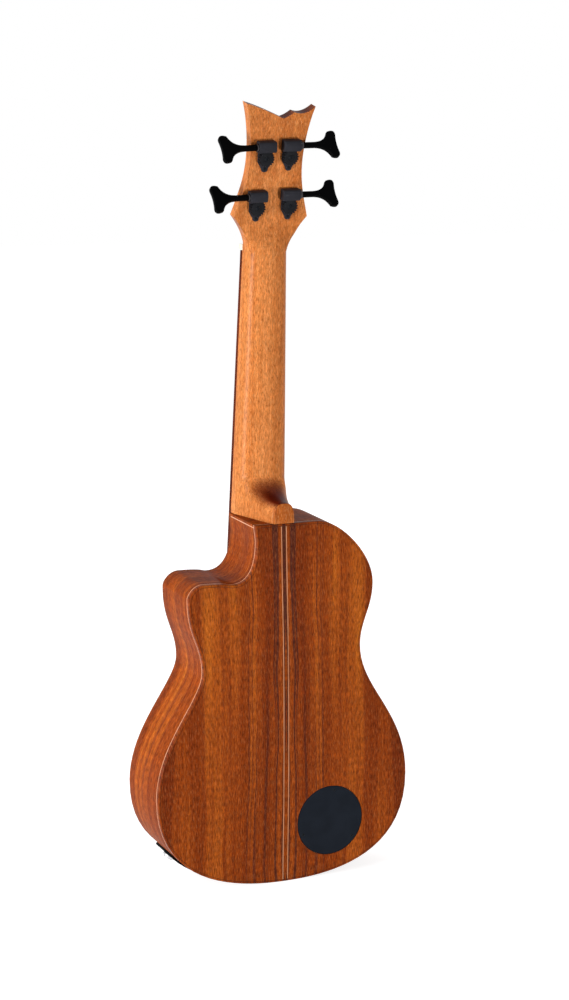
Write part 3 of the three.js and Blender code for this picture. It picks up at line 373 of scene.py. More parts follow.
def machine_place(string):
    seat = Matrix.Translation((string["side"] * string["reach"], HEAD_THICKNESS, string["height"]))
    mirror = Matrix.Diagonal((string["side"], 1, 1, 1))
    return HEAD @ seat @ Matrix.Rotation(math.radians(string["skew"]), 4, "Y") @ mirror


# Camera, as the photograph was taken
def add_camera():
    azimuth, elevation = CAMERA_AZIMUTH, CAMERA_ELEVATION
    back = Vector((
        math.sin(azimuth) * math.cos(elevation),
        -math.cos(azimuth) * math.cos(elevation),
        math.sin(elevation),
    ))
    right = (-back).cross(Vector((0, 0, 1))).normalized()
    up = right.cross(-back)
    turned_right = right * math.cos(CAMERA_ROLL) + up * math.sin(CAMERA_ROLL)
    turned_up = up * math.cos(CAMERA_ROLL) - right * math.sin(CAMERA_ROLL)
    data = bpy.data.cameras.new("camera")
    data.sensor_width = SENSOR_LENGTH
    data.lens = SENSOR_LENGTH * FOCAL_PIXELS / PHOTO_HEIGHT
    camera = bpy.data.objects.new("camera", data)
    turn = Matrix((turned_right, turned_up, back)).transposed().to_4x4()
    place = DRAWING @ (CAMERA_TARGET + back * CAMERA_DISTANCE)
    camera.matrix_world = Matrix.Translation(place) @ turn
    bpy.context.collection.objects.link(camera)
    bpy.context.scene.camera = camera


# Meshes
def mesh_object(name, points, faces):
    mesh = bpy.data.meshes.new(name)
    mesh.from_pydata([tuple(point) for point in points], [], faces)
    tidy = bmesh.new()
    tidy.from_mesh(mesh)
    bmesh.ops.remove_doubles(tidy, verts=tidy.verts, dist=SEAM * SEAM)
    bmesh.ops.recalc_face_normals(tidy, faces=tidy.faces)
    tidy.to_mesh(mesh)
    tidy.free()
    made = bpy.data.objects.new(name, mesh)
    bpy.context.collection.objects.link(made)
    return made


def loft(name, sections, ring=False):
    """A skin through sections with equal point counts, closed by its end faces or round a ring."""
    count = len(sections[0])
    points = [point for section in sections for point in section]
    faces = []
    for i in range(len(sections) if ring else len(sections) - 1):
        here, there = i * count, ((i + 1) % len(sections)) * count
        for k in range(count):
            beside = (k + 1) % count
            faces.append((here + k, here + beside, there + beside, there + k))
    if not ring:
        last = (len(sections) - 1) * count
        faces.append(tuple(reversed(range(count))))
        faces.append(tuple(range(last, last + count)))
    return mesh_object(name, points, faces)


def placed(obj, place):
    """The piece with its points moved by a matrix."""
    obj.data.transform(place)
    return obj


def slab(name, outline, front, back):
    """A plate with its outline in x and z, between two faces given as depths."""
    return loft(name, [[Vector((p[0], face(p[0], p[1]), p[1])) for p in outline] for face in (front, back)])


def round_angles(sides):
    return [2 * math.pi * i / sides for i in range(sides)]


def turned(name, profile, sides=TURNED_SIDES, across=False):
    """A round piece from [radius, place] pairs, about the Y axis, or about the X axis if across."""
    sections = []
    for angle in round_angles(sides):
        c, s = math.cos(angle), math.sin(angle)
        if across:
            sections.append([Vector((place, radius * c, radius * s)) for radius, place in profile])
        else:
            sections.append([Vector((radius * c, place, radius * s)) for radius, place in profile])
    return loft(name, sections, ring=True)


def stepped(start, *steps, inner=0):
    """A profile for turned: from start, each step is a radius and the place where it ends."""
    profile = [(inner, start)]
    for radius, end in steps:
        profile += [(radius, start), (radius, end)]
        start = end
    return [*profile, (inner, start)]


def circle(x, z, radius, sides=TURNED_SIDES):
    return [(x + radius * math.cos(angle), z + radius * math.sin(angle)) for angle in round_angles(sides)]


def box(name, x, y, z):
    return slab(name, [(x[0], z[0]), (x[1], z[0]), (x[1], z[1]), (x[0], z[1])], level(y[0]), level(y[1]))


def level(value):
    return lambda x, z: value


def tube(name, path, radius):
    """A round bar along a path, with its ends closed."""
    steps = [(b - a).normalized() for a, b in zip(path, path[1:])]
    ahead = [steps[0]] + [(a + b).normalized() for a, b in zip(steps, steps[1:])] + [steps[-1]]
    across = ahead[0].orthogonal().normalized()
    sections = []
    for point, direction in zip(path, ahead):
        across = (across - direction * across.dot(direction)).normalized()
        up = direction.cross(across)
        sections.append([
            point + (across * math.cos(angle) + up * math.sin(angle)) * radius
            for angle in round_angles(STRING_SIDES)
        ])
    return loft(name, sections)


def applied(obj):
    bpy.context.view_layer.update()
    graph = bpy.context.evaluated_depsgraph_get()
    mesh = bpy.data.meshes.new_from_object(obj.evaluated_get(graph), depsgraph=graph)
    old = obj.data
    obj.modifiers.clear()
    obj.data = mesh
    bpy.data.meshes.remove(old)
    return obj


def combined(obj, operation, *tools):
    for tool in tools:
        modifier = obj.modifiers.new("combine", "BOOLEAN")
        modifier.operation = operation
        modifier.solver = "MANIFOLD"
        modifier.object = tool
        applied(obj)
        bpy.data.objects.remove(tool)
    return obj


def bevelled(obj, width, angle=40, segments=3):
    modifier = obj.modifiers.new("edges", "BEVEL")
    modifier.width = width
    modifier.segments = segments
    modifier.limit_method = "ANGLE"
    modifier.angle_limit = math.radians(angle)
    return obj


def rounded(obj, *values):
    """The piece with its edges rounded by bevelled's values."""
    return applied(bevelled(obj, *values))


def softened(obj, voxel, rounds):
    """The same skin in even cells, with its edges and joints smoothed."""
    cells = obj.modifiers.new("cells", "REMESH")
    cells.mode = "VOXEL"
    cells.voxel_size = voxel
    soft = obj.modifiers.new("soft", "SMOOTH")
    soft.iterations = rounds
    return applied(obj)


def finish(obj, key, place=DRAWING, body="instrument", replaces=(), sharp=35):
    mesh = obj.data
    mesh.transform(place)
    if place.determinant() < 0:
        mesh.flip_normals()
    mesh.shade_smooth()
    mesh.set_sharp_from_angle(angle=math.radians(sharp))
    mesh.materials.clear()
    mesh.materials.append(LOOK[key])
    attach(obj, body)
    if replaces:
        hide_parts(*replaces)
    return obj


# Outlines
def traced(start, stretches, steps):
    """An outline through straight stretches, given by their end, and curves, by bends and end."""
    points = [Vector(start)]
    for stretch in stretches:
        control = [points[-1], *(Vector(point) for point in stretch)]
        count = 1 if len(control) == 2 else steps
        for i in range(1, count + 1):
            row = control
            while len(row) > 1:
                row = [a.lerp(b, i / count) for a, b in zip(row, row[1:])]
            points.append(row[0])
    return points


def rim_side(anchors):
    """One side of the body from the tail. Each anchor is reached upright or level, and the shares
    say how long the two handles of its curve are."""
    points = [Vector((0, 0))]
    for x, z, first, last, first_share, last_share in anchors:
        start, end = points[-1], Vector((x, z))
        run = end - start
        handles = []
        for anchor, way, share, sign in ((start, first, first_share, 1), (end, last, last_share, -1)):
            reach = Vector((run.x, 0)) if way == "level" else Vector((0, run.y))
            handles.append(anchor + reach * share * sign)
        points = points[:-1] + traced(start, [[*handles, end]], RIM_STEPS)
    return points


TREBLE_RIM = rim_side((
    (LOWER_HALF_WIDTH, LOWER_HEIGHT, "level", "upright", 0.28, 0.96),
    (TREBLE_WAIST_HALF_WIDTH, TREBLE_WAIST_HEIGHT, "upright", "upright", 0.45, 0.21),
    (HORN_HALF_WIDTH, HORN_HEIGHT, "upright", "upright", 0.37, 0.5),
    (HORN_TOP_REACH, HORN_TOP_HEIGHT, "upright", "level", 0.38, 0.56),
    (CUTAWAY_FLOOR_REACH, CUTAWAY_FLOOR_HEIGHT, "level", "level", 0.9, 0.2),
    (CUTAWAY_SIDE_REACH, CUTAWAY_SIDE_HEIGHT, "level", "upright", 0.6, 0.71),
)) + [Vector((TREBLE_FLAT_HALF_WIDTH, BODY_LENGTH))]
BASS_RIM = rim_side((
    (-LOWER_HALF_WIDTH, LOWER_HEIGHT, "level", "upright", 0.28, 0.96),
    (-BASS_WAIST_HALF_WIDTH, BASS_WAIST_HEIGHT, "upright", "upright", 0.47, 0.33),
    (-SHOULDER_HALF_WIDTH, SHOULDER_HEIGHT, "upright", "upright", 0.39, 0.42),
    (-BASS_FLAT_HALF_WIDTH, BODY_LENGTH, "upright", "level", 0.45, 0.38),
))
RIM = TREBLE_RIM + BASS_RIM[:0:-1]


def runs_along(side):
    runs = [0]
    for a, b in zip(side, side[1:]):
        runs.append(runs[-1] + (b - a).length)
    return runs


def rim_stations():
    """Each rim point with its inward direction, long enough to move both its edges by one, and
    its distance along its side from the tail."""
    inward = []
    for i, point in enumerate(RIM):
        before = (point - RIM[i - 1]).normalized()
        after = (RIM[(i + 1) % len(RIM)] - point).normalized()
        way = Vector((-before.y - after.y, before.x + after.x)).normalized()
        inward.append(way / (before.x * way.y - before.y * way.x))
    return list(zip(RIM, inward, runs_along(TREBLE_RIM) + runs_along(BASS_RIM)[:0:-1]))


STATIONS = rim_stations()


def rim_inside(distance):
    return [point + inward * distance for point, inward, _ in STATIONS]


@lru_cache(maxsize=None)
def back_face(x, z):
    """The back's outer face: its edge lies in a plane, and its middle is arched."""
    place = Vector((x, z))
    nearest = LOWER_HALF_WIDTH
    for a, b in zip(RIM, RIM[1:] + RIM[:1]):
        run = b - a
        share = clamp((place - a).dot(run) / run.length_squared)
        nearest = min(nearest, (a + run * share - place).length)
    from_rim = clamp(1 - nearest / ARCH_REACH)
    from_middle = clamp(2 * z / BODY_LENGTH - 1, -1, 1)
    return back_edge(x, z) + BACK_ARCH * (1 - from_rim ** 2) * (1 - from_middle ** 2)


def back_edge(x, z):
    return mix(TAIL_DEPTH, JOINT_DEPTH, z / BODY_LENGTH)


def below_edge(depth):
    return lambda x, z: back_edge(x, z) - depth


def band(name, section, stations=None, ring=True):
    """A strip round the rim. Its section is pairs of inward distance and depth, and each point
    keeps its place in the grain: depth, then distance along the side."""
    stations = stations or STATIONS
    sections = []
    grain = []
    for point, inward, run in stations:
        row = []
        for distance, depth in section:
            place = point + inward * distance
            row.append(Vector((place.x, depth(place.x, place.y), place.y)))
            grain.append((row[-1].y, run, distance))
        sections.append(row)

    def cell(point):
        return tuple(round(part / SEAM) for part in point)

    made = loft(name, sections, ring)
    points = [point for section in sections for point in section]
    known = {cell(point): value for point, value in zip(points, grain)}
    layer = made.data.attributes.new("grain", "FLOAT_VECTOR", "POINT")
    for i, vertex in enumerate(made.data.vertices):
        layer.data[i].vector = known.get(cell(vertex.co), (0, 0, 0))
    return made


# Procedural materials
class Finish:
    """A node material with a Principled shader, and short calls for the nodes before it."""

    def __init__(self, name, **values):
        self.material = bpy.data.materials.new(name)
        self.material.use_nodes = True
        self.tree = self.material.node_tree
        self.shader = self.tree.nodes["Principled BSDF"]
        self.set(**values)

    def set(self, **values):
        for key, value in values.items():
            self.feed(self.shader.inputs[key.replace("_", " ")], value)

    def feed(self, socket, value):
        if isinstance(value, bpy.types.NodeSocket):
            self.tree.links.new(value, socket)
        else:
            socket.default_value = value

    def node(self, kind, inputs=(), output=0, **settings):
        made = self.tree.nodes.new("ShaderNode" + kind)
        for key, value in settings.items():
            setattr(made, key, value)
        for key, value in inputs:
            self.feed(made.inputs[key], value)
        return made.outputs[output]

    def place(self):
        return self.node("TexCoord", output=3)

    def grain(self):
        return self.node("Attribute", output=1, attribute_name="grain")

    def math(self, operation, a, b=0.0, c=0.0):
        return self.node("Math", [(0, a), (1, b), (2, c)], operation=operation)

    def parts(self, vector):
        split = self.tree.nodes.new("ShaderNodeSeparateXYZ")
        self.tree.links.new(vector, split.inputs[0])
        return split.outputs

    def vector(self, x, y, z=0.0):
        return self.node("CombineXYZ", [(0, x), (1, y), (2, z)])

    def noise(self, vector, scale=1.0, detail=2.0, roughness=0.5, distortion=0.0):
        return self.node("TexNoise", [
            ("Vector", vector), ("Scale", scale), ("Detail", detail),
            ("Roughness", roughness), ("Distortion", distortion),
        ])

    def ramp(self, value, stops):
        """stops are pairs of a place and a colour or a grey."""
        made = self.tree.nodes.new("ShaderNodeValToRGB")
        stops = list(stops)
        elements = made.color_ramp.elements
        while len(elements) < len(stops):
            elements.new(1)
        for element, (place, tone) in zip(elements, stops):
            element.position = place
            element.color = (*tone, 1) if isinstance(tone, tuple) else (tone, tone, tone, 1)
        self.tree.links.new(value, made.inputs[0])
        return made.outputs[0]

    def blended(self, share, a, b, mode="MIX"):
        made = self.tree.nodes.new("ShaderNodeMix")
        made.data_type = "RGBA"
        made.blend_type = mode
        for socket, value in ((made.inputs[0], share), (made.inputs[6], a), (made.inputs[7], b)):
            self.feed(socket, (*value, 1) if isinstance(value, tuple) else value)
        return made.outputs[2]

    def rough(self, value, places, roughness):
        return self.ramp(value, zip(places, (roughness, roughness + ROUGHNESS_SPREAD)))

    def bump(self, height, strength, distance):
        return self.node("Bump", [("Height", height), ("Strength", strength), ("Distance", distance)])


# Woods: cycles per metre across and along the grain, and ramps as pairs of a place and a share
DRIFT_CYCLES = (6.0, 5.0)
BAND_DRAG = 2.2
STRIPES_PER_BAND = 5
STRIPE_DRAG = 5.0
STRIPE_PLACES = (0.35, 0.65)
NEAR_STOPS = [(0.0, 1.0), (0.75, 0.8), (1.0, 0.12)]
FINE_STOPS = [(0.32, 0.2), (0.68, 1.65)]
CURL_CYCLES_ACROSS = 45.0
CURL_STOPS = [(0.3, 0.55), (0.7, 1.0)]
PORE_STOPS = [(0.54, 0.0), (0.66, 1.0)]
FLECK_PLACES = (0.5, 0.7)
END_GRAIN_AND_SHADE_PLACES = (0.3, 0.95)
GLOSS_PLACES = (0.2, 0.8)
ROUGHNESS_SPREAD = 0.08
PORE_DEPTH = 0.3 * MM
PORE_STRENGTH = 0.15
FINE_PORE_DEPTH = 0.2 * MM
FINE_PORE_STRENGTH = 0.1
LACQUER_IOR = 1.2
WOOD_GLOSS = 0.3
SIDE_GLOSS = 0.25
BACK_COAT = 0.5
SIDE_COAT = 0.22
NECK_COAT = 0.6
# How much the sides' koa is lightened: painted light for the lit sides
SIDE_PAINTED_LIGHT_LIFT = 1.2

# Plain woods and plain skins
LINE_CYCLES = (320.0, 14.0)
LINE_PLACES = (0.3, 0.7)
FINE_PORE_CYCLES = (2800.0, 160.0)
SKIN_STRENGTH = 0.2
FINE_PER_BROAD = 25
BROAD_PLACES = (0.35, 0.65)
FINE_PLACES = (0.3, 0.7)
DARKER_SHARE = 0.8


def wood(f, across, along, tones, look, deep=0.0):
    """Lacquered wood. across, deep and along are places in metres over and along its grain. Bands
    of colour, dark streaks, fine stripes, a curl across the grain, flecks and pores lie over each
    other."""
    def place(across_cycles, along_cycles, seed=0.0, start=across):
        side = f.math("MULTIPLY", start, across_cycles)
        depth = f.math("MULTIPLY_ADD", deep, across_cycles, seed)
        return f.vector(side, f.math("MULTIPLY", along, along_cycles), depth)

    drift = f.noise(place(*DRIFT_CYCLES))
    shift = f.math("MULTIPLY", f.math("SUBTRACT", drift, 0.5), look["meander"])
    wavy = f.math("ADD", across, shift)

    def stripes(cycles, drag, detail, seed):
        return f.noise(place(cycles, drag, seed, wavy), detail=detail, roughness=0.6)

    # A tone ramp across the grain: on the back it is real figure, the golden bands; on the neck it is
    # painted shade, darker on its -X side.
    tone_and_shade_shift = f.ramp(f.math("MULTIPLY", across, 1 / look["shift_reach"]), look["tone_and_shade_shift"])
    bands = stripes(look["bands"], BAND_DRAG, detail=3.0, seed=1.0)
    colour = f.ramp(f.math("ADD", bands, f.math("SUBTRACT", tone_and_shade_shift, 0.5)), tones)
    narrow = stripes(look["bands"] * STRIPES_PER_BAND, STRIPE_DRAG, detail=3.0, seed=4.0)
    stripe_share = f.ramp(narrow, zip(STRIPE_PLACES, (0.0, look["stripes"])))
    colour = f.blended(stripe_share, colour, look["stripe_tone"], "MULTIPLY")
    streaks = stripes(look["streak_cycles"], look["streak_drag"], detail=2.0, seed=9.0)
    near = f.ramp(f.math("MULTIPLY", across, 1 / look["streak_reach"]), NEAR_STOPS)
    streak_share = f.math("MULTIPLY", f.ramp(streaks, look["streak_stops"]), near)
    colour = f.blended(streak_share, colour, look["streak_tone"])
    fine = f.noise(place(*look["fine_cycles"], seed=6.0), detail=3.0, roughness=0.75)
    colour = f.blended(look["fine"], colour, f.ramp(fine, FINE_STOPS), "MULTIPLY")
    curl_place = place(CURL_CYCLES_ACROSS, look["curl_cycles"], seed=2.0)
    curl = f.noise(curl_place, detail=1.0, roughness=0.4, distortion=0.6)
    colour = f.blended(look["curl"], colour, f.ramp(curl, CURL_STOPS), "MULTIPLY")
    pores = f.ramp(f.noise(place(*look["pore_cycles"]), roughness=0.6), PORE_STOPS)
    colour = f.blended(f.math("MULTIPLY", pores, look["pores"]), colour, look["pore_tone"])
    flecks = f.noise(place(*look["fine_cycles"], seed=12.0), roughness=0.7)
    fleck_share = f.ramp(flecks, zip(FLECK_PLACES, (0.0, look["flecks"])))
    colour = f.blended(fleck_share, colour, look["fleck_tone"])
    # Faces turned up or down take a darker tone: real end grain at the head's top end, and painted shade in
    # the heel's upward-facing recess.
    upward = f.math("ABSOLUTE", f.parts(f.node("TexCoord", output=1))[2])
    end_grain_and_shade_share = f.ramp(upward, zip(END_GRAIN_AND_SHADE_PLACES, (0.0, look["end_grain_and_shade"])))
    f.set(
        Base_Color=f.blended(end_grain_and_shade_share, colour, look["end_grain_and_shade_tone"], "MULTIPLY"),
        Roughness=f.rough(curl, GLOSS_PLACES, look["roughness"]),
        Normal=f.bump(f.math("SUBTRACT", 1.0, pores), PORE_STRENGTH, PORE_DEPTH),
    )
    return f.material


KOA_TONES = [
    (0.22, (0.14, 0.019, 0.002)),
    (0.40, (0.22, 0.036, 0.003)),
    (0.52, (0.29, 0.054, 0.005)),
    (0.64, (0.375, 0.083, 0.008)),
    (0.80, (0.47, 0.125, 0.012)),
]
# The sides take the back's koa tones, lightened as painted light
PAINTED_LIT_SIDE_TONES = [(place, tuple(part * SIDE_PAINTED_LIGHT_LIFT for part in tone)) for place, tone in KOA_TONES]
MAHOGANY_TONES = [
    (0.25, (0.46, 0.13, 0.027)),
    (0.5, (0.605, 0.2, 0.05)),
    (0.75, (0.735, 0.275, 0.083)),
]
CAP_TONES = [
    (0.3, (0.36, 0.085, 0.014)),
    (0.6, (0.45, 0.12, 0.02)),
    (0.8, (0.55, 0.165, 0.033)),
]
KOA_LOOK = {
    "meander": 0.022, "bands": 62.0, "stripes": 0.7, "stripe_tone": (0.62, 0.5, 0.46),
    "streak_cycles": 270.0, "streak_drag": 1.0, "streak_stops": [(0.505, 0.0), (0.575, 0.92)],
    "shift_reach": LOWER_HALF_WIDTH,
    "tone_and_shade_shift": [(0.08, 0.46), (0.44, 0.44), (0.58, 0.6), (0.68, 0.5), (0.8, 0.46)],
    "streak_reach": 0.05, "streak_tone": (0.052, 0.013, 0.009), "curl": 0.35, "curl_cycles": 190.0,
    "pores": 0.6, "pore_tone": (0.07, 0.012, 0.002), "pore_cycles": (1000.0, 130.0),
    "roughness": 0.42, "fine": 0.75, "fine_cycles": (950.0, 150.0),
    "flecks": 0.22, "fleck_tone": (0.48, 0.17, 0.06),
    "end_grain_and_shade": 0.0, "end_grain_and_shade_tone": (1.0, 1.0, 1.0),
}
EVEN_TONE = [(0.0, 0.5), (1.0, 0.5)]
SIDE_LOOK = {
    **KOA_LOOK, "meander": 0.006, "tone_and_shade_shift": EVEN_TONE, "bands": 110.0, "streak_cycles": 70.0,
    "streak_drag": 1.3, "streak_stops": [(0.56, 0.0), (0.72, 0.6)], "streak_reach": 0.2,
    "streak_tone": (0.13, 0.026, 0.012),
}
# How far across the neck its painted shade runs, from darker at -X to lighter towards +X
NECK_SHADE_REACH = 30 * MM
NECK_LOOK = {
    "meander": 0.004, "bands": 90.0, "stripes": 0.5, "stripe_tone": (0.68, 0.55, 0.45),
    # Painted shade: the neck's tone ramp darkens its -X side, away from the light on the +X side
    "shift_reach": NECK_SHADE_REACH, "tone_and_shade_shift": [(0.0, 0.4), (0.4, 0.48), (1.0, 0.53)],
    "streak_cycles": 160.0, "streak_drag": 1.3, "streak_stops": [(0.62, 0.0), (0.8, 0.35)],
    "streak_reach": 0.2, "streak_tone": (0.3, 0.07, 0.014), "curl": 0.16, "curl_cycles": 120.0,
    "pores": 0.6, "pore_tone": (0.2, 0.04, 0.004), "pore_cycles": (900.0, 260.0),
    "roughness": 0.45, "fine": 0.48, "fine_cycles": (850.0, 170.0),
    "flecks": 0.24, "fleck_tone": (0.78, 0.42, 0.17),
    # Darker up- and down-facing faces: end grain, and painted shade in the heel's recess
    "end_grain_and_shade": 1.0, "end_grain_and_shade_tone": (0.2, 0.03, 0.02),
}
CAP_LOOK = {
    **NECK_LOOK, "streak_cycles": 420.0, "streak_drag": 8.0, "streak_stops": [(0.5, 0.0), (0.6, 0.8)],
}


def lacquered(name, gloss, coat):
    f = Finish(name, Specular_IOR_Level=0.0)
    f.set(Coat_Weight=coat, Coat_IOR=LACQUER_IOR, Coat_Roughness=gloss)
    return f


def back_wood():
    f = lacquered("back_wood", WOOD_GLOSS, BACK_COAT)
    x, _, z = f.parts(f.place())
    return wood(f, f.math("ABSOLUTE", x), z, KOA_TONES, KOA_LOOK)


def side_wood(name="side_wood", tones=PAINTED_LIT_SIDE_TONES):
    f = lacquered(name, SIDE_GLOSS, SIDE_COAT)
    depth, run, _ = f.parts(f.grain())
    return wood(f, depth, run, tones, SIDE_LOOK)


def neck_wood(name="neck_wood", tones=MAHOGANY_TONES, look=NECK_LOOK):
    f = lacquered(name, WOOD_GLOSS, NECK_COAT)
    x, y, z = f.parts(f.place())
    return wood(f, x, z, tones, look, y)


def plain_wood(name, tones, roughness, coat=0.0):
    """Straight-grained wood in two tones with fine pores."""
    f = lacquered(name, WOOD_GLOSS, coat)
    x, y, z = f.parts(f.place())

    def lines(across, along, **values):
        side, depth = (f.math("MULTIPLY", place, across) for place in (x, y))
        return f.noise(f.vector(side, f.math("MULTIPLY", z, along), depth), **values)

    grain = lines(*LINE_CYCLES, detail=3.0, roughness=0.65)
    pores = lines(*FINE_PORE_CYCLES, detail=1.0)
    f.set(
        Base_Color=f.ramp(grain, zip(LINE_PLACES, tones)),
        Roughness=roughness,
        Normal=f.bump(pores, FINE_PORE_STRENGTH, FINE_PORE_DEPTH),
    )
    return f.material


def speckled(name, tone, roughness, grains, depth, specular, metallic):
    """A plain finish with a fine uneven skin: plating, plastic, bone or rubber."""
    f = Finish(name, Specular_IOR_Level=specular, Metallic=metallic)
    fine = f.noise(f.place(), grains, detail=3.0, roughness=0.6)
    broad = f.noise(f.place(), grains / FINE_PER_BROAD)
    darker = tuple(part * DARKER_SHARE for part in tone)
    f.set(
        Base_Color=f.ramp(broad, zip(BROAD_PLACES, (darker, tone))),
        Roughness=f.rough(fine, FINE_PLACES, roughness),
        Normal=f.bump(fine, SKIN_STRENGTH, depth * MM),
    )
    return f.material


# Key, name, tone, roughness, cycles of grain, its depth in millimetres, specular level, metallic
SPECKLED = (
    ("bone", "bone", (0.76, 0.7, 0.56), 0.3, 900.0, 0.03, 0.5, 0.0),
    ("black", "black_plating", (0.0012, 0.0012, 0.0014), 0.35, 2200.0, 0.02, 0.015, 0.0),
    ("housing", "housing_plating", (0.023, 0.023, 0.0285), 0.4, 2200.0, 0.03, 0.05, 0.0),
    ("gear", "gear_plating", (0.0125, 0.013, 0.015), 0.4, 2200.0, 0.03, 0.04, 0.0),
    ("screw", "screw_plating", (0.006, 0.0075, 0.01), 0.4, 2200.0, 0.02, 0.1, 0.0),
    ("cover", "cover_plastic", (0.009, 0.0115, 0.0165), 0.5, 1500.0, 0.06, 0.05, 0.0),
    ("dark_nickel", "dark_nickel", (0.06, 0.055, 0.06), 0.2, 1200.0, 0.01, 0.5, 1.0),
    ("chrome", "chrome", (0.72, 0.72, 0.74), 0.12, 1200.0, 0.01, 0.5, 1.0),
    ("frets", "fret_metal", (0.6, 0.58, 0.54), 0.25, 1200.0, 0.01, 0.5, 1.0),
    ("rubber", "string_rubber", (0.016, 0.016, 0.017), 0.5, 1600.0, 0.04, 0.3, 0.0),
)
LOOK = {
    "back": back_wood(),
    "side": side_wood(),
    "binding": side_wood("binding_wood", KOA_TONES),
    "neck": neck_wood(),
    "cap": neck_wood("cap_wood", CAP_TONES, CAP_LOOK),
    "pale": plain_wood("pale_line", ((0.58, 0.26, 0.13), (0.72, 0.4, 0.25)), 0.45, 0.3),
    "inlay": plain_wood("inlay_wood", ((0.38, 0.15, 0.06), (0.5, 0.24, 0.13)), 0.45, 0.3),
    "dark_line": plain_wood("dark_line", ((0.03, 0.008, 0.004), (0.055, 0.014, 0.006)), 0.5, 0.3),
    "inner": plain_wood("inner_wood", ((0.45, 0.27, 0.12), (0.62, 0.42, 0.22)), 0.7),
    "dark": plain_wood("dark_wood", ((0.05, 0.008, 0.003), (0.12, 0.02, 0.007)), 0.45, 0.2),
    **{key: speckled(*values) for key, *values in SPECKLED},
}
SLOTS = {
    **dict.fromkeys(("back", "side", "binding", "cap"), "figured_wood"),
    **dict.fromkeys(("pale", "inlay"), "pale_wood"),
    **dict.fromkeys(("dark_line", "dark"), "dark_wood"),
    **dict.fromkeys(("black", "housing", "gear", "screw", "dark_nickel"), "black_metal"),
    **dict.fromkeys(("chrome", "frets"), "bright_metal"),
    "neck": "neck_wood",
    "bone": "bone",
    "cover": "black_plastic",
    "rubber": "string_rubber",
}


# The box: bindings, sides, back and soundboard
def binding_section(face):
    """A strip whose outer corner is rounded. face(depth) is the surface that far into the body."""
    inner = face(BINDING_DEPTH - SEAM)
    arc = [
        (BINDING_ROUND * (1 - math.cos(turn)), face(BINDING_ROUND * (1 - math.sin(turn))))
        for turn in QUARTER_TURN
    ]
    return [(0, inner), *arc, (BINDING_WIDTH, face(0)), (BINDING_WIDTH, inner)]


def strip(near, far, front, back):
    """The section of a strip between two inward distances and two surfaces."""
    return [(near, front), (near, back), (far, back), (far, front)]


def add_rim():
    finish(band("top_binding_round", binding_section(level)), "binding", replaces=["top_binding"])
    finish(band("back_binding_round", binding_section(below_edge)), "back", replaces=["back_binding"])
    near, far = BINDING_WIDTH + SEAM / 2, BINDING_WIDTH + PURFLING_WIDTH
    for name, face in (("back_purfling", below_edge), ("top_purfling", level)):
        finish(band(name, strip(near, far, face(0), face(PLATE_THICKNESS))), "dark_line")
    line_depth = BINDING_DEPTH + SIDE_LINE_DEPTH
    line = strip(0, BINDING_WIDTH, below_edge(line_depth), below_edge(BINDING_DEPTH))
    finish(band("side_line", line), "pale", replaces=["back_side_line"])
    add_corner_line(line_depth)
    add_sides(line_depth + SEAM)


def add_corner_line(line_depth):
    """The pale line that turns down beside the neck, on the cutaway's side."""
    corner = TREBLE_RIM[-1]
    down = (TREBLE_RIM[-2] - corner).normalized()
    into_body = Vector((down.y, -down.x))
    section = strip(-INLAY_PROUD, EDGE, level(BINDING_DEPTH), below_edge(line_depth))
    runs = (CORNER_STRIP + SIDE_LINE_DEPTH, CORNER_STRIP)
    stations = [(corner + down * run, into_body, 0) for run in runs]
    finish(band("corner_line", section, stations, ring=False), "pale")


def add_sides(line_depth):
    """Both bent sides, from the middle of the tail to the middle of the heel."""
    rib = strip(0, RIB_THICKNESS, level(BINDING_DEPTH), below_edge(line_depth))
    corner = len(TREBLE_RIM)
    under_heel = (Vector((0, BODY_LENGTH)), Vector((0, -1)))
    treble = STATIONS[:corner] + [(*under_heel, STATIONS[corner - 1][2] + TREBLE_FLAT_HALF_WIDTH)]
    bass = [(*under_heel, STATIONS[corner][2] + BASS_FLAT_HALF_WIDTH)] + STATIONS[corner:] + STATIONS[:1]
    treble_side = band("treble_rib", rib, treble, ring=False)
    hole = turned("jack_hole", stepped(-4 * RIB_THICKNESS, (JACK_BARREL_RADIUS + RUNNING_GAP, OVERRUN)))
    combined(treble_side, "DIFFERENCE", placed(hole, JACK))
    finish(treble_side, "side", replaces=["treble_side"])
    finish(band("bass_rib", rib, bass, ring=False), "side", replaces=["bass_side"])


def spread(start, end, cell):
    count = max(1, round((end - start) / cell))
    return [mix(start, end, i / count) for i in range(count + 1)]


def back_sheet(name, across):
    """A strip of the arched back between two places across, before it is trimmed to the rim."""
    sections = []
    for z in spread(-OVERRUN, BODY_LENGTH + OVERRUN, PLATE_CELL):
        outer = [Vector((x, back_face(x, z), z)) for x in across]
        inner = [Vector((x, back_face(x, z) - PLATE_THICKNESS, z)) for x in reversed(across)]
        sections.append(outer + inner)
    return loft(name, sections)


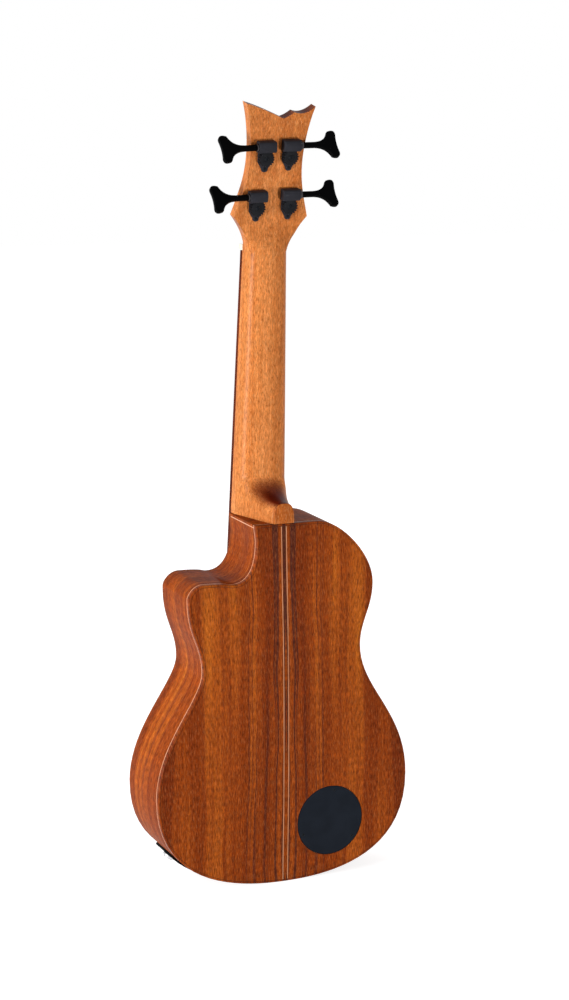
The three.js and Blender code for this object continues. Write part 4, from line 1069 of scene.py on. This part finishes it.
def add_back():
    strip_edge = CENTRE_STRIP_WIDTH / 2
    line_edge = strip_edge + CENTRE_LINE_WIDTH
    parts = (
        ("back_bass_plate", -BODY_SPAN, -line_edge - SEAM, "back", "back_bass_half"),
        ("back_bass_inlay", -line_edge, -strip_edge, "inlay", "back_bass_line"),
        ("back_strip", -strip_edge + SEAM, strip_edge - SEAM, "back", "back_centre_strip"),
        ("back_treble_inlay", strip_edge, line_edge, "inlay", "back_treble_line"),
        ("back_treble_plate", line_edge + SEAM, BODY_SPAN, "back", "back_treble_half"),
    )
    for name, low, high, key, node in parts:
        plate = back_sheet(name, spread(low, high, PLATE_CELL))
        combined(plate, "INTERSECT", slab("trim", rim_inside(PLATE_INSET), level(0), level(PAST_BACK)))
        if node == "back_bass_half":
            hole = circle(-COVER_REACH, COVER_HEIGHT, COVER_RADIUS + COVER_GAP, DISC_SIDES)
            combined(plate, "DIFFERENCE", slab("hole", hole, level(0), level(PAST_BACK)))
        finish(plate, key, replaces=[node])


def add_soundboard():
    plate = slab("soundboard_plate", rim_inside(PLATE_INSET), level(0), level(PLATE_THICKNESS))
    hole = circle(0, SOUNDHOLE_HEIGHT, SOUNDHOLE_RADIUS, DISC_SIDES)
    combined(plate, "DIFFERENCE", slab("hole", hole, level(-OVERRUN), level(OVERRUN)))
    rounded(plate, EDGE, 60)
    finish(plate, "back", replaces=["soundboard"])
    for i, (radius, width) in enumerate(ROSETTE_RINGS):
        profile = stepped(-INLAY_PROUD, (radius + width, EDGE), inner=radius)
        ring = turned(f"rosette_ring_{i + 1}", profile, DISC_SIDES)
        placed(ring, Matrix.Translation((0, 0, SOUNDHOLE_HEIGHT)))
        finish(ring, "dark_line" if i == 1 else "pale")


def screw(name, radius, place, key, body="instrument"):
    """A countersunk screw head with a crossed recess, its face towards +Y in its own frame."""
    crown = [
        (radius * math.sin(turn), radius * SCREW_CROWN_SHARE * math.cos(turn))
        for turn in QUARTER_TURN
    ]
    foot_share, depth_share = SCREW_FOOT_SHARES
    foot = -radius * depth_share
    head = turned(name, [*crown, (radius * foot_share, foot), (0, foot)], SMALL_SIDES)
    for along, beside in (SCREW_SLOT_SHARES, SCREW_SLOT_SHARES[::-1]):
        x, z = radius * along, radius * beside
        combined(head, "DIFFERENCE", box("recess", (-x, x), (0, radius), (-z, z)))
    return finish(head, key, place, body)


def add_cover():
    centre = Vector((-COVER_REACH, COVER_HEIGHT))

    def ring(radius, sink):
        row = []
        for x, z in circle(centre.x, centre.y, radius, DISC_SIDES):
            row.append(Vector((x, back_face(x, z) - sink, z)))
        return row

    rows = [ring((COVER_RADIUS - COVER_EDGE) * share, 0) for share in COVER_RING_SHARES]
    for turn in QUARTER_TURN[::2]:
        radius = COVER_RADIUS - COVER_EDGE * (1 - math.sin(turn))
        rows.append(ring(radius, COVER_EDGE * (1 - math.cos(turn))))
    rows.append(ring(COVER_RADIUS, PLATE_THICKNESS))
    finish(loft("cover_disc", rows), "cover", replaces=["access_cover"])
    for i, degrees in enumerate(COVER_SCREW_ANGLES):
        angle = math.radians(degrees)
        x = centre.x + COVER_SCREW_RADIUS * math.cos(angle)
        z = centre.y + COVER_SCREW_RADIUS * math.sin(angle)
        place = DRAWING @ Matrix.Translation((x, back_face(x, z), z)) @ Matrix.Rotation(angle, 4, "Y")
        screw(f"cover_screw_{i + 1}", SCREW_HEAD_RADIUS, place, "screw")


# Output jack frame on the rim: x along the rim, y outward, z towards the back
def jack_frame():
    i = next(k for k, p in enumerate(RIM) if p.x <= JACK_REACH < RIM[k + 1].x)
    along = RIM[i + 1] - RIM[i]
    place = RIM[i].lerp(RIM[i + 1], (JACK_REACH - RIM[i].x) / along.x)
    along.normalize()
    return Matrix((
        (along.x, along.y, 0, place.x),
        (0, 0, 1, JACK_DEPTH),
        (along.y, -along.x, 0, place.y),
        (0, 0, 0, 1),
    ))


JACK = jack_frame()


def add_jack():
    plate_face = GLUE_GAP + JACK_PLATE_THICKNESS
    nut_floor = plate_face + SEAM
    sink = -RIB_THICKNESS - JACK_INNER_NUT_GAP
    front, back = JACK_DEPTH - JACK_PLATE_TOWARDS_FRONT, JACK_DEPTH + JACK_PLATE_TOWARDS_BACK
    plate = band("jack_cover", strip(-plate_face, -SEAM, level(front), level(back)))
    reach = (-JACK_PLATE_BELOW, JACK_PLATE_ABOVE)
    sector = box("sector", reach, reach, (-2 * JACK_PLATE_TOWARDS_FRONT, 2 * JACK_PLATE_TOWARDS_BACK))
    hole = turned("hole", stepped(-OVERRUN, (JACK_BARREL_RADIUS + RUNNING_GAP / 2, 2 * OVERRUN)))
    combined(plate, "INTERSECT", placed(sector, JACK))
    combined(plate, "DIFFERENCE", placed(hole, JACK))
    rounded(plate, EDGE, 50)
    finish(plate, "black", replaces=["jack_plate"])
    barrel = turned("jack_barrel", stepped(
        JACK_STAND_OUT,
        (JACK_BARREL_RADIUS, sink),
        (JACK_NUT_RADIUS, sink - JACK_NUT_THICKNESS),
        (JACK_BARREL_RADIUS, JACK_STAND_OUT - JACK_BARREL_LENGTH),
        inner=JACK_BORE_RADIUS,
    ))
    rounded(barrel, EDGE)
    finish(barrel, "chrome", DRAWING @ JACK, replaces=["output_jack"])
    nut_step = (JACK_NUT_RADIUS, nut_floor + JACK_NUT_THICKNESS)
    nut_profile = stepped(nut_floor, nut_step, inner=JACK_BARREL_RADIUS + SEAM)
    nut = turned("jack_ring_nut", nut_profile, JACK_NUT_SIDES)
    rounded(nut, EDGE, 25)
    finish(nut, "chrome", DRAWING @ JACK, replaces=["jack_nut"])
    places = (JACK_SCREW_INSET - JACK_PLATE_TOWARDS_FRONT, JACK_PLATE_TOWARDS_BACK - JACK_SCREW_INSET)
    for number, across in enumerate(places, 1):
        seat = Matrix.Translation((0, plate_face, across))
        screw(f"jack_screw_{number}", JACK_SCREW_RADIUS, DRAWING @ JACK @ seat, "dark_nickel")


# Neck
def footed(outline):
    """The outline with its flat side moved past the face that will be cut there."""
    half_width = outline[0].x
    return [*outline, Vector((-half_width, -OVERRUN)), Vector((half_width, -OVERRUN))]


def dome(half_width, reach, roundness):
    """Half of a rounded oval standing on its flat side."""
    points = []
    for i in range(NECK_SIDES + 1):
        angle = math.pi * i / NECK_SIDES
        c, s = math.cos(angle), math.sin(angle)
        points.append(Vector((
            half_width * math.copysign(abs(c) ** (2 / roundness), c),
            reach * abs(s) ** (2 / roundness),
        )))
    return points


def rectangle(half_width, reach):
    """The same points spread over the three sides of a rectangle."""
    corner_share = 1 / 4
    points = []
    for i in range(NECK_SIDES + 1):
        share = i / NECK_SIDES
        across = 1 - 2 * clamp((share - corner_share) / (1 - 2 * corner_share))
        up = clamp(min(share, 1 - share) / corner_share)
        points.append(Vector((half_width * across, reach * up)))
    return points


def cap_face(x, z):
    return back_edge(x, z) + HEEL_CAP_PROUD


def heel_blank():
    full = JOINT_DEPTH + HEEL_CAP_PROUD - HEEL_CAP_THICKNESS
    start = NECK_DEPTH_AT_JOINT * HEEL_START_SHARE / full
    sections = []
    for i in range(HEEL_LEVELS + 1):
        share = mix(start, 1, i / HEEL_LEVELS)
        towards_cap = (share - start) / (1 - start)
        drop = clamp((1 - share) / (1 - NECK_DEPTH_AT_JOINT / full))
        in_neck = clamp(1 - share * full / NECK_DEPTH_AT_JOINT)
        reach = HEEL_CAP_LENGTH + HEEL_SWEEP * (1 - math.sqrt(1 - drop ** 2)) + HEEL_FAIRING * in_neck
        half_width = mix(JOINT_HALF_WIDTH, HEEL_CAP_HALF_WIDTH, towards_cap)
        row = []
        for point in footed(dome(half_width, reach, HEEL_ROUNDNESS)):
            z = BODY_LENGTH + SEAM + point.y
            under_cap = cap_face(point.x, z) - HEEL_CAP_THICKNESS - SEAM
            row.append(Vector((point.x, mix(neck_face(z), under_cap, share), z)))
        sections.append(row)
    return loft("heel_blank", sections)


def neck_blank():
    sections = []
    for i in range(NECK_LEVELS + 1):
        z = mix(BODY_LENGTH - OVERRUN, NUT_HEIGHT, i / NECK_LEVELS)
        outline = footed(dome(neck_half_width(z), neck_depth(z), NECK_ROUNDNESS))
        sections.append([Vector((p.x, neck_face(z) + p.y, z)) for p in outline])
    for i in range(1, CARVE_LEVELS + 1):
        share = i / CARVE_LEVELS
        half_width = mix(NUT_HALF_WIDTH, HEAD_CORNER_HALF_WIDTH + CARVE_MARGIN, share ** CARVE_FLARE)
        depth = mix(NECK_DEPTH_AT_NUT, HEAD_THICKNESS, share * share * (3 - 2 * share))
        oval = dome(half_width, depth, NECK_ROUNDNESS)
        square = rectangle(half_width, depth)
        outline = footed([a.lerp(b, share ** 2) for a, b in zip(oval, square)])
        sections.append([TO_HEAD @ Vector((p.x, p.y, share * CARVE_LENGTH)) for p in outline])
    square = footed(rectangle(HEAD_CORNER_HALF_WIDTH + CARVE_MARGIN, HEAD_THICKNESS))
    sections.append([TO_HEAD @ Vector((p.x, p.y, TREBLE_TIP_HEIGHT + OVERRUN)) for p in square])
    return loft("neck_shape", sections)


def head_outline():
    """Flared from the neck to its corners, drawn in to a waist, and flared to two tips."""
    foot = (HEAD_NECK_HALF_WIDTH, -OVERRUN)
    neck = (HEAD_NECK_HALF_WIDTH, HEAD_NECK_HEIGHT)
    corner = (HEAD_CORNER_HALF_WIDTH, HEAD_CORNER_HEIGHT)
    waist = (HEAD_WAIST_HALF_WIDTH, HEAD_WAIST_HEIGHT)
    treble_tip = (TREBLE_TIP_REACH, TREBLE_TIP_HEIGHT)
    notch = (-NOTCH_REACH, NOTCH_HEIGHT)
    peak = (-PEAK_REACH, PEAK_HEIGHT)
    dip = (-DIP_REACH, DIP_HEIGHT)
    bass_tip = (-BASS_TIP_REACH, BASS_TIP_HEIGHT)

    def between(a, b, shares):
        return mix(a[0], b[0], shares[0]), mix(a[1], b[1], shares[1])

    def mirrored(*points):
        return [(-x, z) for x, z in reversed(points)]

    flare = between(neck, corner, FLARE_SHARES)
    bow = between(corner, waist, BOW_SHARES)
    draw = between(corner, waist, DRAW_SHARES)
    treble_bends = [between(waist, treble_tip, shares) for shares in TIP_SHARES]
    bass_bends = [between(*mirrored(waist), bass_tip, shares) for shares in reversed(TIP_SHARES)]
    return traced(foot, [
        [neck],
        [flare, corner],
        [bow, draw, waist],
        [*treble_bends, treble_tip],
        [*(between(treble_tip, notch, shares) for shares in NOTCH_SHARES), notch],
        [between(notch, peak, PEAK_SHARES), peak],
        [between(peak, dip, DIP_SHARES), dip],
        [between(dip, bass_tip, BASS_TIP_SHARES), bass_tip],
        [*bass_bends, *mirrored(waist)],
        mirrored(corner, bow, draw),
        mirrored(neck, flare),
        mirrored(foot),
    ], HEAD_STEPS)


def smoothed_below(obj, height, rounds):
    group = obj.vertex_groups.new(name="smoothed")
    group.add([v.index for v in obj.data.vertices if v.co.z < height], 1, "REPLACE")
    soft = obj.modifiers.new("soft", "SMOOTH")
    soft.iterations = rounds
    soft.vertex_group = group.name
    return applied(obj)


def neck_faces():
    """The room behind the neck's flat front faces and above the body joint."""
    far = SCALE_LENGTH
    head_top = TO_HEAD @ Vector((0, 0, far))
    side = [
        (SEAM, BODY_LENGTH + SEAM), (neck_face(NUT_HEIGHT) + SEAM, NUT_HEIGHT),
        (head_top.y, head_top.z), (far, head_top.z), (far, BODY_LENGTH + SEAM),
    ]
    return loft("neck_faces", [[Vector((x, y, z)) for y, z in side] for x in (-far, far)])


def add_neck():
    far = SCALE_LENGTH
    trim = slab("head_trim", head_outline(), level(-far), level(far))
    combined(trim, "UNION", box("neck_trim", (-far, far), (-far, far), (-far, -OVERRUN / 2)))
    placed(trim, TO_HEAD)
    neck = combined(neck_blank(), "UNION", heel_blank())
    neck.name = "neck_carved"
    softened(neck, NECK_VOXEL, NECK_SMOOTHING)
    smoothed_below(neck, HEEL_SMOOTH_HEIGHT, HEEL_SMOOTHING)
    combined(neck, "INTERSECT", neck_faces(), trim)
    for string in STRINGS:
        hole = turned("hole", stepped(-OVERRUN, (BUSHING_SLEEVE_RADIUS + SEAM, 5 * OVERRUN)), BORE_SIDES)
        at_post = Matrix.Translation((string["side"] * string["reach"], 0, string["height"]))
        combined(neck, "DIFFERENCE", placed(hole, TO_HEAD @ at_post))
    finish(neck, "neck", replaces=["neck"], sharp=50)
    leaf = dome(HEEL_CAP_HALF_WIDTH, HEEL_CAP_LENGTH, HEEL_ROUNDNESS)
    outline = [Vector((p.x, p.y + BODY_LENGTH + GLUE_GAP)) for p in leaf]
    cap = slab("heel_cap_leaf", outline, lambda x, z: cap_face(x, z) - HEEL_CAP_THICKNESS, cap_face)
    rounded(cap, 2 * EDGE, 50)
    finish(cap, "cap", replaces=["heel_cap"])


# Fretboard, frets, nut, bridge and saddle
def add_fretboard():
    rows = []
    for z in (FRETBOARD_END, BODY_LENGTH, NUT_HEIGHT):
        half = neck_half_width(z)
        front, back = neck_face(z) - FRETBOARD_THICKNESS, max(neck_face(z), 0)
        corners = ((-half, front), (half, front), (half, back), (-half, back))
        rows.append([Vector((x, y, z)) for x, y in corners])
    board = rounded(loft("fingerboard", rows), EDGE, 60)
    finish(board, "dark", replaces=["fretboard"])
    for fret in range(1, FRET_COUNT + 1):
        z = fret_height(fret)
        half = neck_half_width(z) - EDGE
        face = neck_face(z) - FRETBOARD_THICKNESS
        rows = []
        crown = half - 2 * EDGE
        for x, share in ((-half, FRET_END_SHARE), (-crown, 1), (crown, 1), (half, FRET_END_SHARE)):
            top = FRET_PROUD * share
            rows.append([
                Vector((x, face + SEAM - top * math.sin(a), z + FRET_WIDTH / 2 * math.cos(a)))
                for a in HALF_TURN
            ])
        finish(loft(f"fret_{fret}", rows), "frets")
    for fret in DOT_FRETS:
        z = (fret_height(fret) + fret_height(fret - 1)) / 2
        face = neck_face(z) - FRETBOARD_THICKNESS
        inlaid_dot(f"dot_{fret}", DOT_RADIUS, face, (0, 0, z), SMALL_SIDES)
        side_place = (0, face + FRETBOARD_THICKNESS / 2, z)
        side = -neck_half_width(z)
        inlaid_dot(f"side_dot_{fret}", SIDE_DOT_RADIUS, side, side_place, SIDE_DOT_SIDES, True)


def inlaid_dot(name, radius, face, place, sides, across=False):
    dot = turned(name, stepped(face - INLAY_PROUD, (radius, face + EDGE)), sides, across)
    finish(placed(dot, Matrix.Translation(place)), "bone")


def bridge_outline():
    foot, top = SADDLE_HEIGHT - BRIDGE_BELOW_SADDLE, SADDLE_HEIGHT + BRIDGE_ABOVE_SADDLE
    return traced((BRIDGE_WING_HALF_WIDTH, foot), [
        [(BRIDGE_HALF_WIDTH, foot), (BRIDGE_HALF_WIDTH, SADDLE_HEIGHT)],
        [(BRIDGE_HALF_WIDTH, top)],
        [(-BRIDGE_HALF_WIDTH, top)],
        [(-BRIDGE_HALF_WIDTH, SADDLE_HEIGHT)],
        [(-BRIDGE_HALF_WIDTH, foot), (-BRIDGE_WING_HALF_WIDTH, foot)],
    ], HEAD_STEPS)


def add_bridge():
    block = slab("bridge_block", bridge_outline(), level(-BRIDGE_DEPTH), level(-SEAM))
    rounded(block, BRIDGE_ROUND, 50, 4)
    half = SADDLE_HALF_LENGTH + SEAM
    thick = SADDLE_THICKNESS / 2 + SEAM
    depths = (-2 * BRIDGE_DEPTH, -SADDLE_SLOT_FLOOR)
    slot = box("slot", (-half, half), depths, (SADDLE_HEIGHT - thick, SADDLE_HEIGHT + thick))
    combined(block, "DIFFERENCE", slot)
    for i, string in enumerate(STRINGS):
        knot, bend = string_path(string, i)[:2]
        run = (bend - knot).normalized() * OVERRUN
        bore = tube("bore", [knot - run, bend + run], string["radius"] + RUNNING_GAP)
        combined(block, "DIFFERENCE", bore)
    finish(block, "dark", replaces=["bridge"])


# Strings, from the knot inside the body over the saddle and the nut to the post
def string_path(string, i):
    place = i / (len(STRINGS) - 1) - 1 / 2
    saddle_x, nut_x = place * SADDLE_SPREAD, place * NUT_SPREAD
    radius = string["radius"]
    over_saddle = -(SADDLE_FRONT + GLUE_GAP + radius)
    over_board = FRETBOARD_THICKNESS + FRET_PROUD + STRING_LIFT + radius
    knot_depth = PLATE_THICKNESS + BRIDGE_PLATE_DEPTH + GLUE_GAP + radius + KNOT_MARGIN
    nut_top = NUT_HEIGHT + NUT_THICKNESS
    return [
        Vector((saddle_x, knot_depth, SADDLE_HEIGHT - BRIDGE_BELOW_SADDLE)),
        Vector((saddle_x, over_saddle, SADDLE_HEIGHT - SADDLE_THICKNESS)),
        Vector((saddle_x, over_saddle, SADDLE_HEIGHT + SADDLE_THICKNESS)),
        Vector((nut_x, neck_face(NUT_HEIGHT) - over_board, NUT_HEIGHT)),
        Vector((nut_x, neck_face(nut_top) - over_board, nut_top)),
        TO_HEAD @ winding_point(string, 0),
    ]


def winding_point(string, turns):
    """A place on the string's turns round its post, in the head's frame."""
    radius = string["radius"]
    angle = 2 * math.pi * turns
    reach = DRUM_RADIUS + GLUE_GAP + radius
    foot = POST_FOOT + DRUM_FOOT_THICKNESS + GLUE_GAP + radius
    return Vector((
        string["side"] * (string["reach"] - reach * math.cos(angle)),
        -(foot + 2 * radius * turns),
        string["height"] + reach * math.sin(angle),
    ))


def eased(path, cut):
    """The path with each corner taken over by a short curve."""
    points = [path[0]]
    for before, corner, after in zip(path, path[1:], path[2:]):
        come = corner + (before - corner).normalized() * cut
        leave = corner + (after - corner).normalized() * cut
        for share in spread(0, 1, 1 / BEND_STEPS):
            points.append(come.lerp(corner, share).lerp(corner.lerp(leave, share), share))
    return [*points, path[-1]]


def add_strings():
    for i, string in enumerate(STRINGS):
        name, radius = string["name"], string["radius"]
        path = string_path(string, i)
        line = tube(f"string_{name}_line", eased(path, STRING_BEND), radius)
        knot_radius = radius + KNOT_MARGIN
        ball = [(knot_radius * math.sin(a), -knot_radius * math.cos(a)) for a in HALF_TURN]
        knot = placed(turned("knot", ball, BORE_SIDES), Matrix.Translation(path[0]))
        combined(line, "UNION", knot)
        finish(line, "rubber", replaces=[f"string_{name}"])
        count = WINDING_TURNS * WINDING_STEPS
        turns = [winding_point(string, k / WINDING_STEPS) for k in range(count + 1)]
        winding = tube(f"string_{name}_turns", turns, radius)
        finish(winding, "rubber", HEAD, f"post_{name}")


# Tuning machines, each in its own frame at its post on the head's back face
WORM_START = HOUSING_END_WALL + GLUE_GAP - HOUSING_INNER
COLLAR_START = HOUSING_OUTER + GLUE_GAP
COLLAR_END = COLLAR_START + COLLAR_THICKNESS
AT_WORM = Matrix.Translation((0, WORM_RISE, WORM_OFFSET))


def machine_plate_outline():
    end = -MACHINE_TIP_DROP - MACHINE_TIP_RADIUS
    half = MACHINE_PLATE_HALF_WIDTH
    return traced((half, -MACHINE_PLATE_TAPER), [
        [(half, MACHINE_PLATE_TOP)],
        [(-half, MACHINE_PLATE_TOP)],
        [(-half, -MACHINE_PLATE_TAPER)],
        [(-MACHINE_TIP_RADIUS, -MACHINE_TIP_DROP)],
        [(-MACHINE_TIP_RADIUS, end), (0, end)],
        [(MACHINE_TIP_RADIUS, end), (MACHINE_TIP_RADIUS, -MACHINE_TIP_DROP)],
    ], HEAD_STEPS)


def housing_shape():
    low, high = WORM_OFFSET - HOUSING_HALF_HEIGHT, WORM_OFFSET + HOUSING_HALF_HEIGHT
    shoulder = mix(GLUE_GAP, HOUSING_RISE, HOUSING_SHOULDER_SHARE)
    section = traced((low, GLUE_GAP), [
        [(low, shoulder)],
        [(low, HOUSING_RISE), (WORM_OFFSET, HOUSING_RISE)],
        [(high, HOUSING_RISE), (high, shoulder)],
        [(high, GLUE_GAP)],
    ], HEAD_STEPS)
    ends = (-HOUSING_INNER, HOUSING_OUTER)
    housing = loft("housing", [[Vector((x, p.y, p.x)) for p in section] for x in ends])
    rounded(housing, HOUSING_EDGE, 50)
    plate_top = level(GLUE_GAP + MACHINE_PLATE_THICKNESS)
    plate = slab("plate", machine_plate_outline(), level(GLUE_GAP), plate_top)
    rounded(plate, HOUSING_EDGE, 50)
    combined(housing, "UNION", plate)
    start, end = WORM_START - GLUE_GAP, HOUSING_OUTER + OVERRUN
    bore = turned("bore", stepped(start, (WORM_RADIUS + RUNNING_GAP, end)), SMALL_SIDES, across=True)
    placed(bore, AT_WORM)
    low, high = GEAR_FLOOR - RUNNING_GAP, GEAR_TOP + RUNNING_GAP
    gear_slot = turned("gear_slot", stepped(low, (GEAR_RADIUS + RUNNING_GAP, high)))
    hole = turned("hole", stepped(-OVERRUN, (POST_NECK_RADIUS + RUNNING_GAP, low)), SMALL_SIDES)
    return combined(housing, "DIFFERENCE", bore, gear_slot, hole)


def gear_shape():
    outline = []
    for tooth in range(GEAR_TEETH):
        for turn, crest in GEAR_TOOTH_SHARES:
            angle = 2 * math.pi * (tooth + turn) / GEAR_TEETH
            radius = GEAR_RADIUS - GEAR_TOOTH_DEPTH * (1 - crest)
            outline.append((radius * math.cos(angle), radius * math.sin(angle)))
    gear = slab("gear", outline, level(GEAR_FLOOR), level(GEAR_TOP))
    bore = circle(0, 0, POST_NECK_RADIUS + SEAM, SMALL_SIDES)
    combined(gear, "DIFFERENCE", slab("bore", bore, level(0), level(2 * GEAR_TOP)))
    return rounded(gear, EDGE / 2, 60, 2)


def worm_shape():
    pitch = 2 * math.pi * GEAR_RADIUS / GEAR_TEETH
    ridges = []
    for i in range(WORM_TURNS):
        middle = (i - (WORM_TURNS - 1) / 2) * pitch
        ridges += [(WORM_ROOT_RADIUS, middle - pitch / 2), (WORM_RADIUS, middle)]
    bearing = pitch * WORM_TURNS / 2 + GLUE_GAP
    ends = stepped(
        bearing,
        (WORM_RADIUS, COLLAR_START),
        (COLLAR_RADIUS, COLLAR_END),
        (KEY_STUB_RADIUS, KEY_START),
        inner=WORM_ROOT_RADIUS,
    )[:-1]
    start = [(0, WORM_START), (WORM_ROOT_RADIUS, WORM_START)]
    worm = turned("worm", [*start, *ridges, *ends, (0, KEY_START)], across=True)
    return placed(rounded(worm, EDGE / 2, 60, 2), AT_WORM)


def key_outline():
    lobe = KEY_LOBE_RADIUS * math.sqrt(1 / 2)
    tip = KEY_LOBE_REACH + KEY_LOBE_RADIUS
    root = KEY_THICKNESS / 2
    near, far = (mix(KEY_START, KEY_LOBE_REACH, share) for share in KEY_BEND_SHARES)
    far_rise = mix(root, KEY_LOBE_OFFSET, KEY_RISE_SHARE)
    start = (KEY_LOBE_REACH - lobe, KEY_LOBE_OFFSET + lobe)
    bend = (tip, KEY_LOBE_OFFSET + KEY_LOBE_RADIUS + lobe / 2)
    return traced((KEY_START, -root), [
        [(near, -root), (far, -far_rise), (start[0], -start[1])],
        [(bend[0], -bend[1]), (tip, -KEY_LOBE_OFFSET)],
        [(tip - 2 * KEY_HOLLOW, 0), (tip, KEY_LOBE_OFFSET)],
        [bend, start],
        [(far, far_rise), (near, root), (KEY_START, root)],
    ], HEAD_STEPS)


def key_shape():
    outline = key_outline()
    half = KEY_THICKNESS / 2
    blade = slab("key", outline, level(-half), level(half))
    rounded(blade, KEY_EDGE, 50, 4)
    placed(blade, Matrix.Rotation(KEY_TURN, 4, "X"))
    sleeve_start = COLLAR_END + GLUE_GAP
    sleeve_end = mix(KEY_START, KEY_LOBE_REACH, KEY_SLEEVE_SHARE)
    sleeve = turned("sleeve", [
        (0, sleeve_start), (SHAFT_RADIUS, sleeve_start), (SHAFT_RADIUS, KEY_START),
        (half, sleeve_end), (0, sleeve_end),
    ], across=True)
    combined(blade, "UNION", sleeve)
    softened(blade, KEY_VOXEL, KEY_SMOOTHING)
    bore = stepped(sleeve_start - OVERRUN, (KEY_STUB_RADIUS + SEAM, KEY_START + GLUE_GAP))
    combined(blade, "DIFFERENCE", turned("socket", bore, BORE_SIDES, across=True))
    return placed(blade, AT_WORM)


def post_shape():
    foot_start = -HEAD_THICKNESS - POST_FOOT
    drum_start = foot_start - DRUM_FOOT_THICKNESS
    end = -HEAD_THICKNESS - POST_RISE
    post = turned("post", stepped(
        GEAR_TOP,
        (POST_NECK_RADIUS, -GLUE_GAP),
        (POST_RADIUS, foot_start),
        (POST_FLANGE_RADIUS, drum_start),
        (DRUM_RADIUS, end + POST_FLANGE_THICKNESS),
        (POST_FLANGE_RADIUS, end),
    ))
    return rounded(post, EDGE, 60)


def bushing_shape():
    face = -HEAD_THICKNESS - SEAM
    bushing = turned("bushing", stepped(
        face - BUSHING_THICKNESS,
        (BUSHING_RADIUS, face),
        (BUSHING_SLEEVE_RADIUS, face + BUSHING_SLEEVE_LENGTH),
        inner=POST_RADIUS + RUNNING_GAP,
    ))
    return rounded(bushing, EDGE, 60)


def add_machines():
    shapes = (
        ("housing", housing_shape(), "housing", "instrument"),
        ("gear", gear_shape(), "gear", "post"),
        ("worm", worm_shape(), "dark_nickel", "key"),
        ("key", key_shape(), "black", "key"),
        ("post", post_shape(), "black", "post"),
        ("bushing", bushing_shape(), "black", "instrument"),
    )
    for string in STRINGS:
        name = string["name"]
        place = machine_place(string)
        for part, shape, key, body in shapes:
            copy = bpy.data.objects.new(f"machine_{part}_{name}", shape.data.copy())
            bpy.context.collection.objects.link(copy)
            rides = body if body == "instrument" else f"{body}_{name}"
            finish(copy, key, place, rides, [f"tuner_{part}_{name}"])
        gear_seat = place @ Matrix.Translation((0, GEAR_TOP + SEAM, 0))
        screw(f"gear_screw_{name}", GEAR_SCREW_RADIUS, gear_seat, "screw", f"post_{name}")
        tip = Matrix.Translation((0, GLUE_GAP + MACHINE_PLATE_THICKNESS, -MACHINE_TIP_DROP))
        screw(f"plate_screw_{name}", PLATE_SCREW_RADIUS, place @ tip, "screw")
    for _, shape, *_ in shapes:
        bpy.data.objects.remove(shape)


# What the CAD model shows as it is: the inner wood, the saddle, the nut and the pickup
def dress_cad_nodes():
    inner = (
        "top_lining", "back_lining", "neck_block", "tail_block", "top_brace_1", "top_brace_2",
        "back_brace_1", "back_brace_2", "bridge_plate", "cover_seat",
    )
    keys = {**dict.fromkeys(inner, "inner"), "saddle": "bone", "nut": "bone", "saddle_pickup": "chrome"}
    for node, key in keys.items():
        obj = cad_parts[node]
        obj.data.materials.clear()
        obj.data.materials.append(LOOK[key])
    for node in ("saddle", "nut"):
        bevelled(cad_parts[node], EDGE, 60)


# Floor, lamps and the white surroundings
def seen_rays(tree):
    """One for rays from the camera and for those that gloss and glass send on."""
    rays = tree.nodes.new("ShaderNodeLightPath")
    total = rays.outputs["Is Camera Ray"]
    for kind in ("Is Glossy Ray", "Is Transmission Ray"):
        either = tree.nodes.new("ShaderNodeMath")
        either.operation = "MAXIMUM"
        tree.links.new(total, either.inputs[0])
        tree.links.new(rays.outputs[kind], either.inputs[1])
        total = either.outputs[0]
    return total


def add_floor():
    far = FLOOR_HALF_WIDTH
    corners = [(-far, -far, 0), (far, -far, 0), (far, far, 0), (-far, far, 0)]
    floor = mesh_object("floor", corners, [(0, 1, 2, 3)])
    f = Finish("floor", Base_Color=FLOOR_TONE, Roughness=FLOOR_ROUGHNESS, Specular_IOR_Level=0.0)
    f.set(Emission_Color=WHITE)
    f.set(Emission_Strength=f.math("MULTIPLY", seen_rays(f.tree), FLOOR_GLOW))
    floor.data.materials.append(f.material)


def add_world():
    world = bpy.data.worlds.new("studio")
    world.use_nodes = True
    bpy.context.scene.world = world
    tree = world.node_tree
    background = tree.nodes["Background"]
    background.inputs["Color"].default_value = WHITE
    strength = tree.nodes.new("ShaderNodeMapRange")
    strength.inputs["To Min"].default_value = WORLD_LIGHT
    strength.inputs["To Max"].default_value = 1
    tree.links.new(seen_rays(tree), strength.inputs["Value"])
    tree.links.new(strength.outputs["Result"], background.inputs["Strength"])


def add_lamps():
    for name, place, size, power, mirrored in LAMPS:
        data = bpy.data.lights.new(name, "AREA")
        data.size = size
        data.energy = power
        lamp = bpy.data.objects.new(name, data)
        lamp.visible_glossy = mirrored
        turn = (LAMP_AIM - place).to_track_quat("-Z", "Y").to_matrix().to_4x4()
        lamp.matrix_world = Matrix.Translation(place) @ turn
        bpy.context.collection.objects.link(lamp)


bpy.context.scene.view_settings.view_transform = "Standard"
for add in (
    add_camera, add_floor, add_world, add_lamps, add_rim, add_back, add_soundboard, add_cover, add_jack,
    add_neck, add_fretboard, add_bridge, add_strings, add_machines, dress_cad_nodes,
):
    add()
